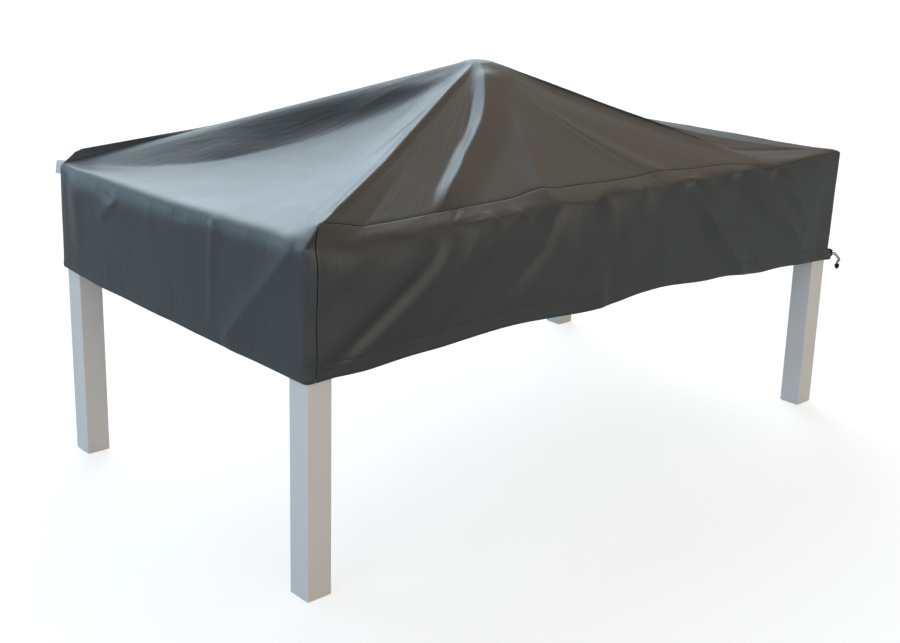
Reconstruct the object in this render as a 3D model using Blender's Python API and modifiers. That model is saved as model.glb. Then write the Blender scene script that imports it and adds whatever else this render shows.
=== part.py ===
"""Fitted weather cover on a four-legged garden table, held up in the middle by a prop.

Metres, +Z up. The origin is on the floor under the middle of the whole, +X runs along the
table's long side and the front long side faces -Y. Places below are from the table's centre,
and the stand at the end moves all of it. The cloth is one sheet surface, worked out from two
coordinates: a station, in metres round the top edge, and a level, -1 at the rim of the
prop's cap, 0 at the table's edge and 1 at the hem. Its panels are patches of that surface.
"""
import math

import bmesh
import bpy
import numpy as np

# ---- driving dimensions -------------------------------------------------------------------
TABLE_LENGTH = 1.80
TABLE_WIDTH = 1.00
TABLE_HEIGHT = 0.730
TOP_THICKNESS = 0.028
LEG_SIZE = 0.060
APRON_HEIGHT = 0.070
APRON_THICKNESS = 0.020
APRON_INSET = 0.014
JOINT_GAP = 0.0003
STAND_X = -0.020

CAP_RADIUS = 0.050
CAP_CROWN = 0.006
PROP_TOP = 0.979
PROP_POST_RADIUS = 0.016
PROP_FOOT_RADIUS = 0.070
PROP_FOOT_HEIGHT = 0.008

CLOTH = 0.0015
EDGE_GAP = 0.006
END_SLACK = 0.014
LEAN_FROM = 0.50
ROLL = 0.012
CORNER_RADIUS = 0.010
CAP_GAP = 0.005
SEAM_GAP = 0.0014
SEAM_GAP_LEVEL = 0.005
CAP_RINGS = (0.35, 0.70)

LOCK_RADIUS = 0.0085
LOCK_HEIGHT = 0.020
LOCK_GAP = 0.0008
LOCK_BESIDE = 0.009
LOCK_LEVEL = 0.985
CORD_DIAMETER = 0.003
BELL_RADIUS = 0.0068
BELL_HEIGHT = 0.014
BELL_OFFSET = (0.006, -0.024, -0.030)
STRAND_SPREAD = 0.0022
STRAND_GAP = 0.0007
STRAND_LEAVES = math.radians(-40)
LABEL_WIDTH = 0.026
LABEL_HEIGHT = 0.034
LABEL_THICKNESS = 0.0010

# ---- the cloth's outline ------------------------------------------------------------------
# It is a little longer than the table. The spare length lies at the top of the right end,
# which leans back in as it hangs.
EDGE_LENGTH = TABLE_LENGTH + 2 * EDGE_GAP + END_SLACK
EDGE_WIDTH = TABLE_WIDTH + 2 * EDGE_GAP
LEFT_X = -TABLE_LENGTH / 2 - EDGE_GAP
RIGHT_X = LEFT_X + EDGE_LENGTH
HALF_Y = EDGE_WIDTH / 2
LOOP = 2 * (EDGE_LENGTH + EDGE_WIDTH)
RIM_Z = PROP_TOP + CAP_GAP
EDGE_Z = TABLE_HEIGHT + EDGE_GAP


def on_front(x):
    """Station on the front edge at x."""
    return x - LEFT_X


def on_right(y):
    """Station on the right end at y."""
    return EDGE_LENGTH + y + HALF_Y


def on_back(x):
    """Station on the back edge at x."""
    return EDGE_LENGTH + EDGE_WIDTH + RIGHT_X - x


def on_left(y):
    """Station on the left end at y."""
    return 2 * EDGE_LENGTH + EDGE_WIDTH + HALF_Y - y


# Where the four corner seams run down, a little past the table's corners.
SEAM_NEAR = on_front(LEFT_X + 0.021)
SEAM_RIGHT = on_right(-HALF_Y + 0.008)
SEAM_FAR = on_right(HALF_Y - 0.010)
SEAM_LEFT = on_back(LEFT_X + 0.016)

# Station, level of the long seams on the tent (0 at the table's edge).
SEAM_LEVELS = (
    (0.0, -0.055),
    (on_front(-0.82), -0.066),
    (on_front(-0.73), -0.070),
    (on_front(-0.53), -0.082),
    (on_front(-0.38), -0.084),
    (on_front(-0.28), -0.102),
    (on_front(-0.18), -0.086),
    (on_front(0.05), -0.074),
    (on_front(0.19), -0.076),
    (on_front(0.39), -0.048),
    (on_front(0.50), -0.016),
    (on_front(0.57), 0.012),
    (on_front(0.66), -0.004),
    (on_right(-HALF_Y), -0.004),
    (on_right(HALF_Y), -0.030),
    (on_back(0.45), -0.052),
    (on_back(-0.05), -0.088),
    (on_back(-0.50), -0.074),
    (on_back(LEFT_X), -0.040),
    (LOOP, -0.055),
)

# Station, height of the hem above the floor.
HEM_HEIGHTS = (
    (0.0, 0.470),
    (on_front(-0.78), 0.473),
    (on_front(-0.60), 0.479),
    (on_front(-0.38), 0.488),
    (on_front(-0.10), 0.475),
    (on_front(0.12), 0.485),
    (on_front(0.35), 0.469),
    (on_front(0.60), 0.448),
    (on_right(-HALF_Y), 0.429),
    (on_right(0.0), 0.437),
    (on_right(HALF_Y), 0.433),
    (on_back(0.30), 0.462),
    (on_back(-0.30), 0.478),
    (on_back(LEFT_X), 0.483),
    (on_left(0.30), 0.475),
    (LOOP, 0.470),
)

# Station, how far the hanging cloth swings out from the edge by the hem.
HEM_SWINGS = (
    (0.0, 0.001),
    (on_front(-0.70), 0.008),
    (on_front(-0.20), 0.018),
    (on_front(0.30), 0.016),
    (on_front(0.75), 0.008),
    (on_front(0.86), 0.001),
    (on_right(-HALF_Y), 0.000),
    (on_right(-0.25), 0.012),
    (on_right(0.25), 0.012),
    (on_right(HALF_Y), 0.004),
    (on_back(0.40), 0.018),
    (on_back(-0.40), 0.018),
    (on_back(LEFT_X), 0.003),
    (on_left(0.0), 0.004),
    (LOOP, 0.001),
)

# Station, rise of the folded-over edge above its plain height.
EDGE_RISES = (
    (0.0, 0.004),
    (on_front(-0.60), 0.001),
    (on_front(0.50), 0.000),
    (on_right(-HALF_Y), 0.000),
    (on_right(HALF_Y), 0.001),
    (on_back(LEFT_X), 0.002),
    (on_left(0.30), 0.006),
    (on_left(-0.30), 0.006),
    (LOOP, 0.004),
)

# Faces between ridges: first and last station, slack, width of the drop beside each ridge.
FACES = (
    {"start": 0.0, "end": on_front(0.56), "slack": 0.10, "near": 0.30, "far": 0.20},
    {"start": on_front(0.56), "end": on_back(0.70), "slack": 0.90, "near": 0.16, "far": 0.20},
    {"start": on_back(0.70), "end": on_back(LEFT_X), "slack": 0.30, "near": 0.25, "far": 0.25},
    {"start": on_back(LEFT_X), "end": LOOP, "slack": 0.92, "near": 0.24, "far": 0.60},
)

# Sewn corners that stand up off the table: station, level, height, reach along the edge.
CORNER_LIFTS = (
    {"station": 0.010, "level": -0.055, "height": 0.024, "reach": 0.10},
    {"station": on_back(LEFT_X + 0.005), "level": -0.035, "height": 0.014, "reach": 0.09},
    {"station": on_right(HALF_Y - 0.005), "level": -0.030, "height": 0.010, "reach": 0.08},
    {"station": on_right(-HALF_Y + 0.004), "level": -0.030, "height": 0.004, "reach": 0.06},
)

# Folds: line from (station, level) to (station, level), width of the flank on each side of
# the crest, height off the sheet (negative for a valley) and fade at its two ends, in levels.
FOLDS = (
    # pleat from the peak to the front seam, steep on its left flank
    {"a": (on_front(-0.47), -1.00), "b": (on_front(-0.565), -0.03), "before": 0.042,
     "after": 0.130, "height": 0.018, "fade": (0.25, 0.10)},
    # hollow on the left of that pleat
    {"a": (on_front(-0.69), -0.97), "b": (on_front(-0.66), -0.08), "before": 0.120,
     "after": 0.045, "height": -0.006, "fade": (0.30, 0.20)},
    # soft fold to the step in the seam
    {"a": (on_front(-0.19), -0.72), "b": (on_front(-0.26), 0.02), "before": 0.060,
     "after": 0.110, "height": 0.007, "fade": (0.30, 0.10)},
    # two long ridges that sweep down to the near corner
    {"a": (on_front(-0.55), -0.02), "b": (on_front(-0.86), 0.86), "before": 0.075,
     "after": 0.026, "height": 0.018, "fade": (0.15, 0.25)},
    {"a": (on_front(-0.50), 0.06), "b": (on_front(-0.79), 1.02), "before": 0.046,
     "after": 0.050, "height": 0.015, "fade": (0.20, 0.15)},
    # shorter ridges beside them
    {"a": (on_front(-0.40), -0.02), "b": (on_front(-0.56), 0.70), "before": 0.060,
     "after": 0.040, "height": 0.009, "fade": (0.12, 0.40)},
    {"a": (on_front(-0.24), -0.02), "b": (on_front(-0.40), 0.66), "before": 0.080,
     "after": 0.030, "height": 0.014, "fade": (0.08, 0.40)},
    # hanging folds right of the middle
    {"a": (on_front(-0.10), -0.01), "b": (on_front(-0.075), 1.05), "before": 0.100,
     "after": 0.070, "height": 0.013, "fade": (0.10, 0.20)},
    {"a": (on_front(0.13), -0.01), "b": (on_front(0.16), 0.70), "before": 0.080,
     "after": 0.080, "height": 0.009, "fade": (0.10, 0.35)},
    {"a": (on_front(0.23), 0.00), "b": (on_front(0.50), 1.05), "before": 0.045,
     "after": 0.075, "height": 0.015, "fade": (0.08, 0.20)},
    {"a": (on_front(0.41), -0.02), "b": (on_front(0.70), 0.68), "before": 0.045,
     "after": 0.070, "height": 0.012, "fade": (0.08, 0.30)},
    {"a": (on_front(0.56), 0.06), "b": (on_front(0.80), 0.62), "before": 0.040,
     "after": 0.060, "height": 0.008, "fade": (0.15, 0.25)},
    # slanting crease on the left end, by the near corner
    {"a": (on_left(-0.49), 0.02), "b": (on_left(-0.22), 0.95), "before": 0.060,
     "after": 0.120, "height": 0.006, "fade": (0.10, 0.20)},
    # lip of the hem at the drawcord's corner
    {"a": (on_right(-HALF_Y + 0.004), 0.90), "b": (on_right(-HALF_Y + 0.004), 1.60),
     "before": 0.040, "after": 0.050, "height": 0.011, "fade": (0.08, 0.10)},
    # right end
    {"a": (on_right(-0.20), 0.00), "b": (on_right(-0.30), 0.80), "before": 0.070,
     "after": 0.060, "height": 0.011, "fade": (0.15, 0.30)},
    {"a": (on_right(0.16), 0.00), "b": (on_right(0.24), 0.85), "before": 0.070,
     "after": 0.080, "height": 0.012, "fade": (0.15, 0.30)},
    # back: a pleat from the peak and hanging folds
    {"a": (on_back(0.24), -0.95), "b": (on_back(0.28), -0.05), "before": 0.050,
     "after": 0.100, "height": 0.011, "fade": (0.30, 0.12)},
    {"a": (on_back(0.32), 0.00), "b": (on_back(0.50), 0.85), "before": 0.060,
     "after": 0.080, "height": 0.013, "fade": (0.12, 0.30)},
    {"a": (on_back(0.05), 0.00), "b": (on_back(0.10), 0.90), "before": 0.090,
     "after": 0.060, "height": 0.012, "fade": (0.12, 0.30)},
    {"a": (on_back(-0.25), 0.00), "b": (on_back(-0.40), 0.85), "before": 0.060,
     "after": 0.080, "height": 0.014, "fade": (0.12, 0.30)},
    {"a": (on_back(-0.55), 0.02), "b": (on_back(-0.72), 0.80), "before": 0.070,
     "after": 0.050, "height": 0.009, "fade": (0.15, 0.30)},
)

# Materials: name, colour, metallic, roughness.
FINISHES = {
    "coated_cloth": ((0.060, 0.066, 0.066), 0.0, 0.55),
    "painted_metal": ((0.700, 0.680, 0.650), 0.0, 0.35),
    "black_plastic": ((0.012, 0.012, 0.013), 0.0, 0.40),
    "black_cord": ((0.015, 0.015, 0.018), 0.0, 0.80),
    "white_label": ((0.720, 0.720, 0.760), 0.0, 0.70),
}


# ---- scene helpers ------------------------------------------------------------------------
def clear_scene():
    """Remove what the file holds, so the model starts from nothing."""
    for obj in list(bpy.data.objects):
        bpy.data.objects.remove(obj, do_unlink=True)


def finish(name):
    """The material of one finish, made the first time it is asked for."""
    material = bpy.data.materials.get(name)
    if material is None:
        colour, metallic, roughness = FINISHES[name]
        material = bpy.data.materials.new(name)
        material.use_nodes = True
        shader = material.node_tree.nodes["Principled BSDF"]
        shader.inputs["Base Color"].default_value = (*colour, 1.0)
        shader.inputs["Metallic"].default_value = metallic
        shader.inputs["Roughness"].default_value = roughness
    return material


def add_piece(name, data, finish_name, collection):
    """Link a new object with its own copy of a finish."""
    obj = bpy.data.objects.new(name, data)
    collection.objects.link(obj)
    own = finish(finish_name).copy()
    own.name = name + "_" + finish_name
    obj.data.materials.append(own)
    return obj


def box_mesh(name, size, bevel=0.0):
    """A box about its own centre, with its edges bevelled."""
    mesh = bpy.data.meshes.new(name)
    bm = bmesh.new()
    bmesh.ops.create_cube(bm, size=1.0)
    bmesh.ops.scale(bm, vec=size, verts=bm.verts)
    if bevel:
        bmesh.ops.bevel(bm, geom=bm.edges, offset=bevel, segments=1, profile=0.5, affect="EDGES")
    bm.to_mesh(mesh)
    bm.free()
    return mesh


def turned_mesh(name, profile, sides):
    """A solid turned about Z from (radius, height) points, top to bottom, ends on the axis."""
    mesh = bpy.data.meshes.new(name)
    bm = bmesh.new()
    rings = []
    for radius, height in profile:
        if radius == 0.0:
            rings.append([bm.verts.new((0.0, 0.0, height))])
            continue
        angles = [2 * math.pi * i / sides for i in range(sides)]
        rings.append([bm.verts.new((radius * math.cos(a), radius * math.sin(a), height))
                      for a in angles])
    for upper, lower in zip(rings, rings[1:]):
        for i in range(sides):
            j = (i + 1) % sides
            corners = [upper[i % len(upper)], lower[i % len(lower)],
                       lower[j % len(lower)], upper[j % len(upper)]]
            bm.faces.new(list(dict.fromkeys(corners)))
    bmesh.ops.recalc_face_normals(bm, faces=bm.faces)
    bm.to_mesh(mesh)
    bm.free()
    mesh.shade_smooth()
    mesh.set_sharp_from_angle(angle=math.radians(35))
    return mesh


# ---- the cloth's surface ------------------------------------------------------------------
def from_table(table, station):
    """Smooth value at a station from (station, value) rows that go once round the loop."""
    rows = np.array(table)
    places, values = rows[:, 0], rows[:, 1]
    station = np.mod(station, LOOP)
    index = np.clip(np.searchsorted(places, station, side="right") - 1, 0, len(places) - 2)
    part = (station - places[index]) / (places[index + 1] - places[index])
    ease = part * part * (3 - 2 * part)
    return values[index] + (values[index + 1] - values[index]) * ease


def edge_point(station):
    """Point and outward direction on the rounded rectangle of the cover's top edge."""
    station = np.mod(station, LOOP)
    sides = np.array([0.0, EDGE_LENGTH, EDGE_LENGTH + EDGE_WIDTH,
                      2 * EDGE_LENGTH + EDGE_WIDTH])
    side = np.searchsorted(sides, station, side="right") - 1
    along = station - sides[side]
    x = np.choose(side, [LEFT_X + along, RIGHT_X + 0 * along, RIGHT_X - along,
                         LEFT_X + 0 * along])
    y = np.choose(side, [-HALF_Y + 0 * along, along - HALF_Y, HALF_Y + 0 * along,
                         HALF_Y - along])
    inner_x = np.clip(x, LEFT_X + CORNER_RADIUS, RIGHT_X - CORNER_RADIUS)
    inner_y = np.clip(y, CORNER_RADIUS - HALF_Y, HALF_Y - CORNER_RADIUS)
    out = np.stack([x - inner_x, y - inner_y], axis=-1)
    out /= np.linalg.norm(out, axis=-1, keepdims=True)
    return np.stack([inner_x, inner_y], axis=-1) + CORNER_RADIUS * out, out


def slack_at(station):
    """How far the tent sags between its ridges, 0 on a ridge."""
    station = np.mod(station, LOOP)
    slack = np.zeros_like(station)
    for face in FACES:
        inside = (station >= face["start"]) & (station <= face["end"])
        rise = np.clip((station - face["start"]) / face["near"], 0, 1)
        fall = np.clip((face["end"] - station) / face["far"], 0, 1)
        amount = face["slack"] * np.sin(rise * math.pi / 2) * np.sin(fall * math.pi / 2)
        slack = np.where(inside, amount, slack)
    return slack


def apart(station, other):
    """Signed distance round the loop from one station to another."""
    return np.mod(station - other + LOOP / 2, LOOP) - LOOP / 2


def plain_surface(station, level):
    """The sheet without its folds."""
    edge, out = edge_point(station)
    rim = CAP_RADIUS * edge / np.linalg.norm(edge, axis=-1, keepdims=True)
    hem_z = from_table(HEM_HEIGHTS, station)
    edge_z = EDGE_Z + from_table(EDGE_RISES, station)
    tent = np.clip(-level, 0, 1)
    skirt = np.clip(level, 0, None)

    t = 1 - tent
    drop = t + slack_at(station) * t * tent
    z = RIM_Z + (edge_z - RIM_Z) * drop
    for lift in CORNER_LIFTS:
        beside = np.clip(1 - np.abs(apart(station, lift["station"])) / lift["reach"], 0, 1)
        above = np.clip((level + 0.40) / (lift["level"] + 0.40), 0, 1)
        below = np.clip(level / lift["level"], 0, 1)
        z = z + lift["height"] * beside * np.minimum(above, below)
    z = z - (edge_z - hem_z) * skirt

    swing = from_table(HEM_SWINGS, station) * np.sin(np.clip(skirt, 0, 1) * math.pi / 2)
    flat = edge + (rim - edge) * tent[..., None] + out * swing[..., None]
    lean = np.clip(skirt, 0, 1) * np.clip((edge[..., 0] - LEAN_FROM) / (RIGHT_X - LEAN_FROM), 0, 1)
    flat[..., 0] -= END_SLACK * lean
    return np.concatenate([flat, z[..., None]], axis=-1)


def rolled_surface(station, level):
    """The sheet with its turn over the edge rounded, as a mean over nearby levels."""
    steps = ((-1.0, 1), (-0.5, 4), (0.0, 6), (0.5, 4), (1.0, 1))
    reach = ROLL / np.where(level < 0, 0.48, 0.27)
    reach = reach * np.clip(1.4 - np.abs(level) / (3 * reach + 1e-9) * 0.4, 0, 1)
    total = 0
    for offset, weight in steps:
        total = total + weight * plain_surface(station, level + offset * reach)
    return total / 16


def fold_height(station, level):
    """How far the folds lift or sink the sheet."""
    edge, _ = edge_point(station)
    fan = 1 - np.clip(-level, 0, 1) * (1 - CAP_RADIUS / np.linalg.norm(edge, axis=-1))
    height = np.zeros_like(station)
    for fold in FOLDS:
        (start, top), (end, foot) = fold["a"], fold["b"]
        part = (level - top) / (foot - top)
        line = start + (end - start) * part
        off = apart(station, line) * fan
        flank = np.where(off < 0, fold["before"], fold["after"])
        x = np.clip(np.abs(off) / flank, 0, 1)
        crest = (1 - x) ** 2 * (1 + 2 * x)
        rise = np.clip((level - top) / fold["fade"][0], 0, 1)
        fall = np.clip((foot - level) / fold["fade"][1], 0, 1)
        height = height + fold["height"] * crest * np.sin(rise * math.pi / 2) \
            * np.sin(fall * math.pi / 2)
    return height


def cloth_surface(station, level):
    """Points of the finished sheet's outer face."""
    station = np.asarray(station, dtype=float)
    level = np.asarray(level, dtype=float)
    step_s, step_l = 0.002, 0.006
    along = rolled_surface(station + step_s, level) - rolled_surface(station - step_s, level)
    down = rolled_surface(station, level + step_l) - rolled_surface(station, level - step_l)
    normal = np.cross(down, along)
    normal /= np.linalg.norm(normal, axis=-1, keepdims=True) + 1e-12
    return rolled_surface(station, level) + normal * fold_height(station, level)[..., None]


# ---- grids of the panels ------------------------------------------------------------------
def stations_between(first, last, pitch):
    """Stations from first to last at about one pitch, with extra ones round the corners."""
    count = max(2, round((last - first) / pitch))
    stations = list(np.linspace(first, last, count + 1))
    for corner in (0.0, EDGE_LENGTH, EDGE_LENGTH + EDGE_WIDTH, LOOP - EDGE_WIDTH, LOOP):
        stations += [corner + turn * CORNER_RADIUS for turn in (-1.4, -0.7, 0.0, 0.7, 1.4)]
    stations = sorted(s for s in stations if first <= s <= last)
    kept = [first]
    for station in stations:
        if station - kept[-1] > 0.5 * CORNER_RADIUS and last - station > 0.5 * CORNER_RADIUS:
            kept.append(station)
    return np.array(kept + [last])


def sheet_object(name, points, faces, collection):
    """A panel of cloth from its outer face, thickened inwards."""
    mesh = bpy.data.meshes.new(name)
    mesh.from_pydata([tuple(p) for p in points], [], faces)
    mesh.update()
    mesh.shade_smooth()
    obj = add_piece(name, mesh, "coated_cloth", collection)
    wall = obj.modifiers.new("cloth thickness", "SOLIDIFY")
    wall.thickness = CLOTH
    wall.offset = -1.0
    return obj


def grid_faces(rows, columns, first=0, closed=False):
    """Quads over a grid of points stored row by row, wound to face outwards."""
    faces = []
    for r in range(rows - 1):
        for c in range(columns if closed else columns - 1):
            d = (c + 1) % columns
            a, b = first + r * columns, first + (r + 1) * columns
            faces.append((a + c, b + c, b + d, a + d))
    return faces


def side_panel(name, span, rows, collection):
    """A long side panel, from the long seam over the table's edge to the hem."""
    first, last, pitch = span
    stations = stations_between(first, last, pitch)
    stations[0] += SEAM_GAP
    stations[-1] -= SEAM_GAP
    seam = from_table(SEAM_LEVELS, stations) + SEAM_GAP_LEVEL
    grid = [cloth_surface(stations, seam + (1 - seam) * part) for part in rows]
    faces = grid_faces(len(rows), len(stations))
    return sheet_object(name, np.concatenate(grid), faces, collection)


def main_panel(name, spans, tent_rows, skirt_rows, collection):
    """The top with the two end skirts, in one piece, with the peak's round cap."""
    marks, stations = [], []
    for first, last, pitch in spans:
        marks.append(len(stations))
        stations += list(stations_between(first, last, pitch)[:-1])
    stations = np.array(stations)
    columns = len(stations)
    seam = from_table(SEAM_LEVELS, stations)

    edge, _ = edge_point(stations)
    bearing = edge / np.linalg.norm(edge, axis=-1, keepdims=True)
    points = [np.array([[0.0, 0.0, RIM_Z + CAP_CROWN]])]
    faces = [(0, 1 + c, 1 + (c + 1) % columns) for c in range(columns)]
    for ring in CAP_RINGS:
        crown = RIM_Z + CAP_CROWN * (1 - ring * ring)
        flat = bearing * CAP_RADIUS * ring
        points.append(np.column_stack([flat, np.full(columns, crown)]))
    for part in tent_rows:
        points.append(cloth_surface(stations, -1 + (seam + 1) * part))
    rings = len(CAP_RINGS) + len(tent_rows)
    faces += grid_faces(rings, columns, first=1, closed=True)

    last_ring = 1 + (rings - 1) * columns
    total = 1 + rings * columns
    for start, end in ((marks[1], marks[2]), (marks[3], columns)):
        span = [c % columns for c in range(start, end + 1)]
        above = [last_ring + c for c in span]
        for part in skirt_rows:
            points.append(cloth_surface(stations[span], seam[span] + (1 - seam[span]) * part))
            below = list(range(total, total + len(span)))
            for i in range(len(span) - 1):
                faces.append((above[i], below[i], below[i + 1], above[i + 1]))
            above = below
            total += len(span)
    return sheet_object(name, np.concatenate(points), faces, collection)


# ---- the pieces ---------------------------------------------------------------------------
def build_table(collection):
    """Plain table: top, four legs and four rails between them."""
    under = TABLE_HEIGHT - TOP_THICKNESS
    top = add_piece("table_top", box_mesh(
        "table_top", (TABLE_LENGTH, TABLE_WIDTH, TOP_THICKNESS), 0.003), "painted_metal",
        collection)
    top.location.z = TABLE_HEIGHT - TOP_THICKNESS / 2

    leg_height = under - JOINT_GAP
    leg_mesh = box_mesh("leg", (LEG_SIZE, LEG_SIZE, leg_height), 0.0015)
    leg_x = (TABLE_LENGTH - LEG_SIZE) / 2
    leg_y = (TABLE_WIDTH - LEG_SIZE) / 2
    for end, x in (("left", -leg_x), ("right", leg_x)):
        for side, y in (("front", -leg_y), ("back", leg_y)):
            leg = add_piece("leg_" + side + "_" + end, leg_mesh.copy(), "painted_metal",
                            collection)
            leg.location = (x, y, leg_height / 2)

    rail_z = under - JOINT_GAP - APRON_HEIGHT / 2
    long_rail = TABLE_LENGTH - 2 * LEG_SIZE - 2 * JOINT_GAP
    short_rail = TABLE_WIDTH - 2 * LEG_SIZE - 2 * JOINT_GAP
    rail_y = TABLE_WIDTH / 2 - APRON_INSET - APRON_THICKNESS / 2
    rail_x = TABLE_LENGTH / 2 - APRON_INSET - APRON_THICKNESS / 2
    for side, y in (("front", -rail_y), ("back", rail_y)):
        rail = add_piece("rail_" + side, box_mesh(
            "rail", (long_rail, APRON_THICKNESS, APRON_HEIGHT), 0.001), "painted_metal",
            collection)
        rail.location = (0.0, y, rail_z)
    for end, x in (("left", -rail_x), ("right", rail_x)):
        rail = add_piece("rail_" + end, box_mesh(
            "rail", (APRON_THICKNESS, short_rail, APRON_HEIGHT), 0.001), "painted_metal",
            collection)
        rail.location = (x, 0.0, rail_z)


def build_prop(collection):
    """Prop under the peak: a foot plate, a post and a domed cap, turned as one solid."""
    base = TABLE_HEIGHT + JOINT_GAP
    cap_under = PROP_TOP - 0.018
    profile = (
        (0.0, PROP_TOP + CAP_CROWN * 0.6),
        (CAP_RADIUS * 0.55, PROP_TOP + CAP_CROWN * 0.2),
        (CAP_RADIUS * 0.84, PROP_TOP - 0.003),
        (CAP_RADIUS * 0.96, PROP_TOP - 0.010),
        (CAP_RADIUS * 0.90, cap_under),
        (PROP_POST_RADIUS, cap_under - 0.006),
        (PROP_POST_RADIUS, base + PROP_FOOT_HEIGHT),
        (PROP_FOOT_RADIUS, base + PROP_FOOT_HEIGHT),
        (PROP_FOOT_RADIUS, base),
        (0.0, base),
    )
    return add_piece("peak_prop", turned_mesh("peak_prop", profile, 24), "painted_metal",
                     collection)


def build_cover(collection):
    """The sewn cover: main panel with end skirts, front panel and back panel."""
    front = (SEAM_NEAR, SEAM_RIGHT, 0.040)
    right = (SEAM_RIGHT, SEAM_FAR, 0.060)
    back = (SEAM_FAR, SEAM_LEFT, 0.058)
    left = (SEAM_LEFT, SEAM_NEAR + LOOP, 0.060)
    tent_rows = (0.0, 0.06, 0.13, 0.23, 0.35, 0.48, 0.61, 0.74, 0.85, 0.93, 0.97, 1.0)
    skirt_rows = (0.0, 0.03, 0.06, 0.09, 0.13, 0.20, 0.31, 0.46, 0.66, 0.85, 0.95, 1.0)
    main_panel("cover_main_panel", (front, right, back, left), tent_rows, skirt_rows[1:],
               collection)
    side_panel("cover_front_panel", front, skirt_rows, collection)
    side_panel("cover_back_panel", back, skirt_rows, collection)


def build_label(collection):
    """Small blank label, sewn into the seam of the back left corner."""
    root = cloth_surface(np.array([SEAM_LEFT]), np.array([0.07]))[0]
    label = add_piece("corner_label", box_mesh(
        "corner_label", (LABEL_THICKNESS, LABEL_WIDTH, LABEL_HEIGHT)), "white_label", collection)
    label.location = (root[0] + 0.001, root[1] + 0.0008 + LABEL_WIDTH / 2, root[2])
    return label


def lock_centre():
    """Centre of the cord lock, standing by the lip of the hem at the front right corner."""
    spot = cloth_surface(np.array([on_right(-HALF_Y + LOCK_BESIDE)]), np.array([LOCK_LEVEL]))[0]
    return (spot[0] + LOCK_RADIUS + LOCK_GAP, spot[1], spot[2] + LOCK_HEIGHT / 2)


def build_drawcord(collection):
    """Cord lock at the hem, the two strands of the drawcord and the bell on their ends."""
    x, y, z = lock_centre()
    half = LOCK_HEIGHT / 2
    profile = (
        (0.0, half),
        (LOCK_RADIUS * 0.55, half),
        (LOCK_RADIUS * 0.62, half - 0.004),
        (LOCK_RADIUS, half - 0.0045),
        (LOCK_RADIUS, -half + 0.0015),
        (LOCK_RADIUS * 0.82, -half),
        (0.0, -half),
    )
    lock = add_piece("cord_lock", turned_mesh("cord_lock", profile, 16), "black_plastic",
                     collection)
    lock.location = (x, y, z)

    bell_top = tuple(np.array((x, y, z)) + BELL_OFFSET)
    bell_profile = (
        (0.0, 0.0),
        (BELL_RADIUS * 0.80, 0.0),
        (BELL_RADIUS, -0.0015),
        (BELL_RADIUS * 0.95, -BELL_HEIGHT * 0.45),
        (BELL_RADIUS * 0.35, -BELL_HEIGHT),
        (0.0, -BELL_HEIGHT),
    )
    bell = add_piece("cord_bell", turned_mesh("cord_bell", bell_profile, 16), "black_plastic",
                     collection)
    bell.location = bell_top

    for name, side in (("drawcord_inner", -1), ("drawcord_outer", 1)):
        route = drawcord_route((x, y, z), bell_top, side)
        curve = bpy.data.curves.new(name, "CURVE")
        curve.dimensions = "3D"
        curve.bevel_depth = CORD_DIAMETER / 2
        curve.bevel_resolution = 2
        curve.use_fill_caps = True
        spline = curve.splines.new("POLY")
        spline.points.add(len(route) - 1)
        for point, place in zip(spline.points, route):
            point.co = (*place, 1.0)
        add_piece(name, curve, "black_cord", collection)


def smooth_route(points, steps):
    """A smooth curve through a route's own points."""
    places = [np.array(p) for p in points]
    padded = [2 * places[0] - places[1]] + places + [2 * places[-1] - places[-2]]
    route = []
    for i in range(1, len(padded) - 2):
        p0, p1, p2, p3 = padded[i - 1:i + 3]
        for k in range(steps):
            t = k / steps
            route.append(0.5 * (2 * p1 + (p2 - p0) * t + (2 * p0 - 5 * p1 + 4 * p2 - p3) * t * t
                                + (3 * p1 - p0 - 3 * p2 + p3) * t ** 3))
    route.append(places[-1])
    return [tuple(p) for p in route]


def drawcord_route(lock, bell, side):
    """Points of one strand, from the lock's outer face over and down to the bell's top.

    The two strands arch side by side in one upright plane, the outer one over the inner one.
    """
    out = np.array((math.cos(STRAND_LEAVES), math.sin(STRAND_LEAVES), 0.0))
    up = np.array((0.0, 0.0, 1.0))
    spread = STRAND_SPREAD * side
    start = np.array(lock) + out * (LOCK_RADIUS + STRAND_GAP) - up * 0.0035
    end = np.array(bell) + up * STRAND_GAP
    points = (
        start + up * spread,
        start + out * 0.0045 + up * spread,
        start + out * (0.0100 + 0.6 * spread) + up * (0.8 * spread - 0.0040),
        end + out * (0.0045 + spread) + up * 0.0125,
        end + out * (0.0006 + spread) + up * 0.0060,
        end + out * spread,
    )
    return smooth_route(points, 3)


def main():
    clear_scene()
    collection = bpy.data.collections.new("table_cover")
    bpy.context.scene.collection.children.link(collection)
    build_table(collection)
    build_prop(collection)
    build_cover(collection)
    build_label(collection)
    build_drawcord(collection)
    stand = bpy.data.objects.new("stand", None)
    stand.location.x = STAND_X
    for piece in collection.objects:
        piece.parent = stand
    collection.objects.link(stand)


main()
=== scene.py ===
"""Looks of the fitted weather cover on its garden table.

Metres, +Z up, in the frame's own space. Places are given from the table's centre and the
stand's offset is added at the end. The cloth is worked out from two coordinates, as in the
frame: a station, in metres round the table's top edge, and a level, -1 at the rim of the
prop's cap, 0 at the table's edge and 1 at the hem. Creases are added in each face's own plane.
"""
import math
from collections import namedtuple

import bmesh
import bpy
import numpy as np
from mathutils import Matrix, Vector


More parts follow.
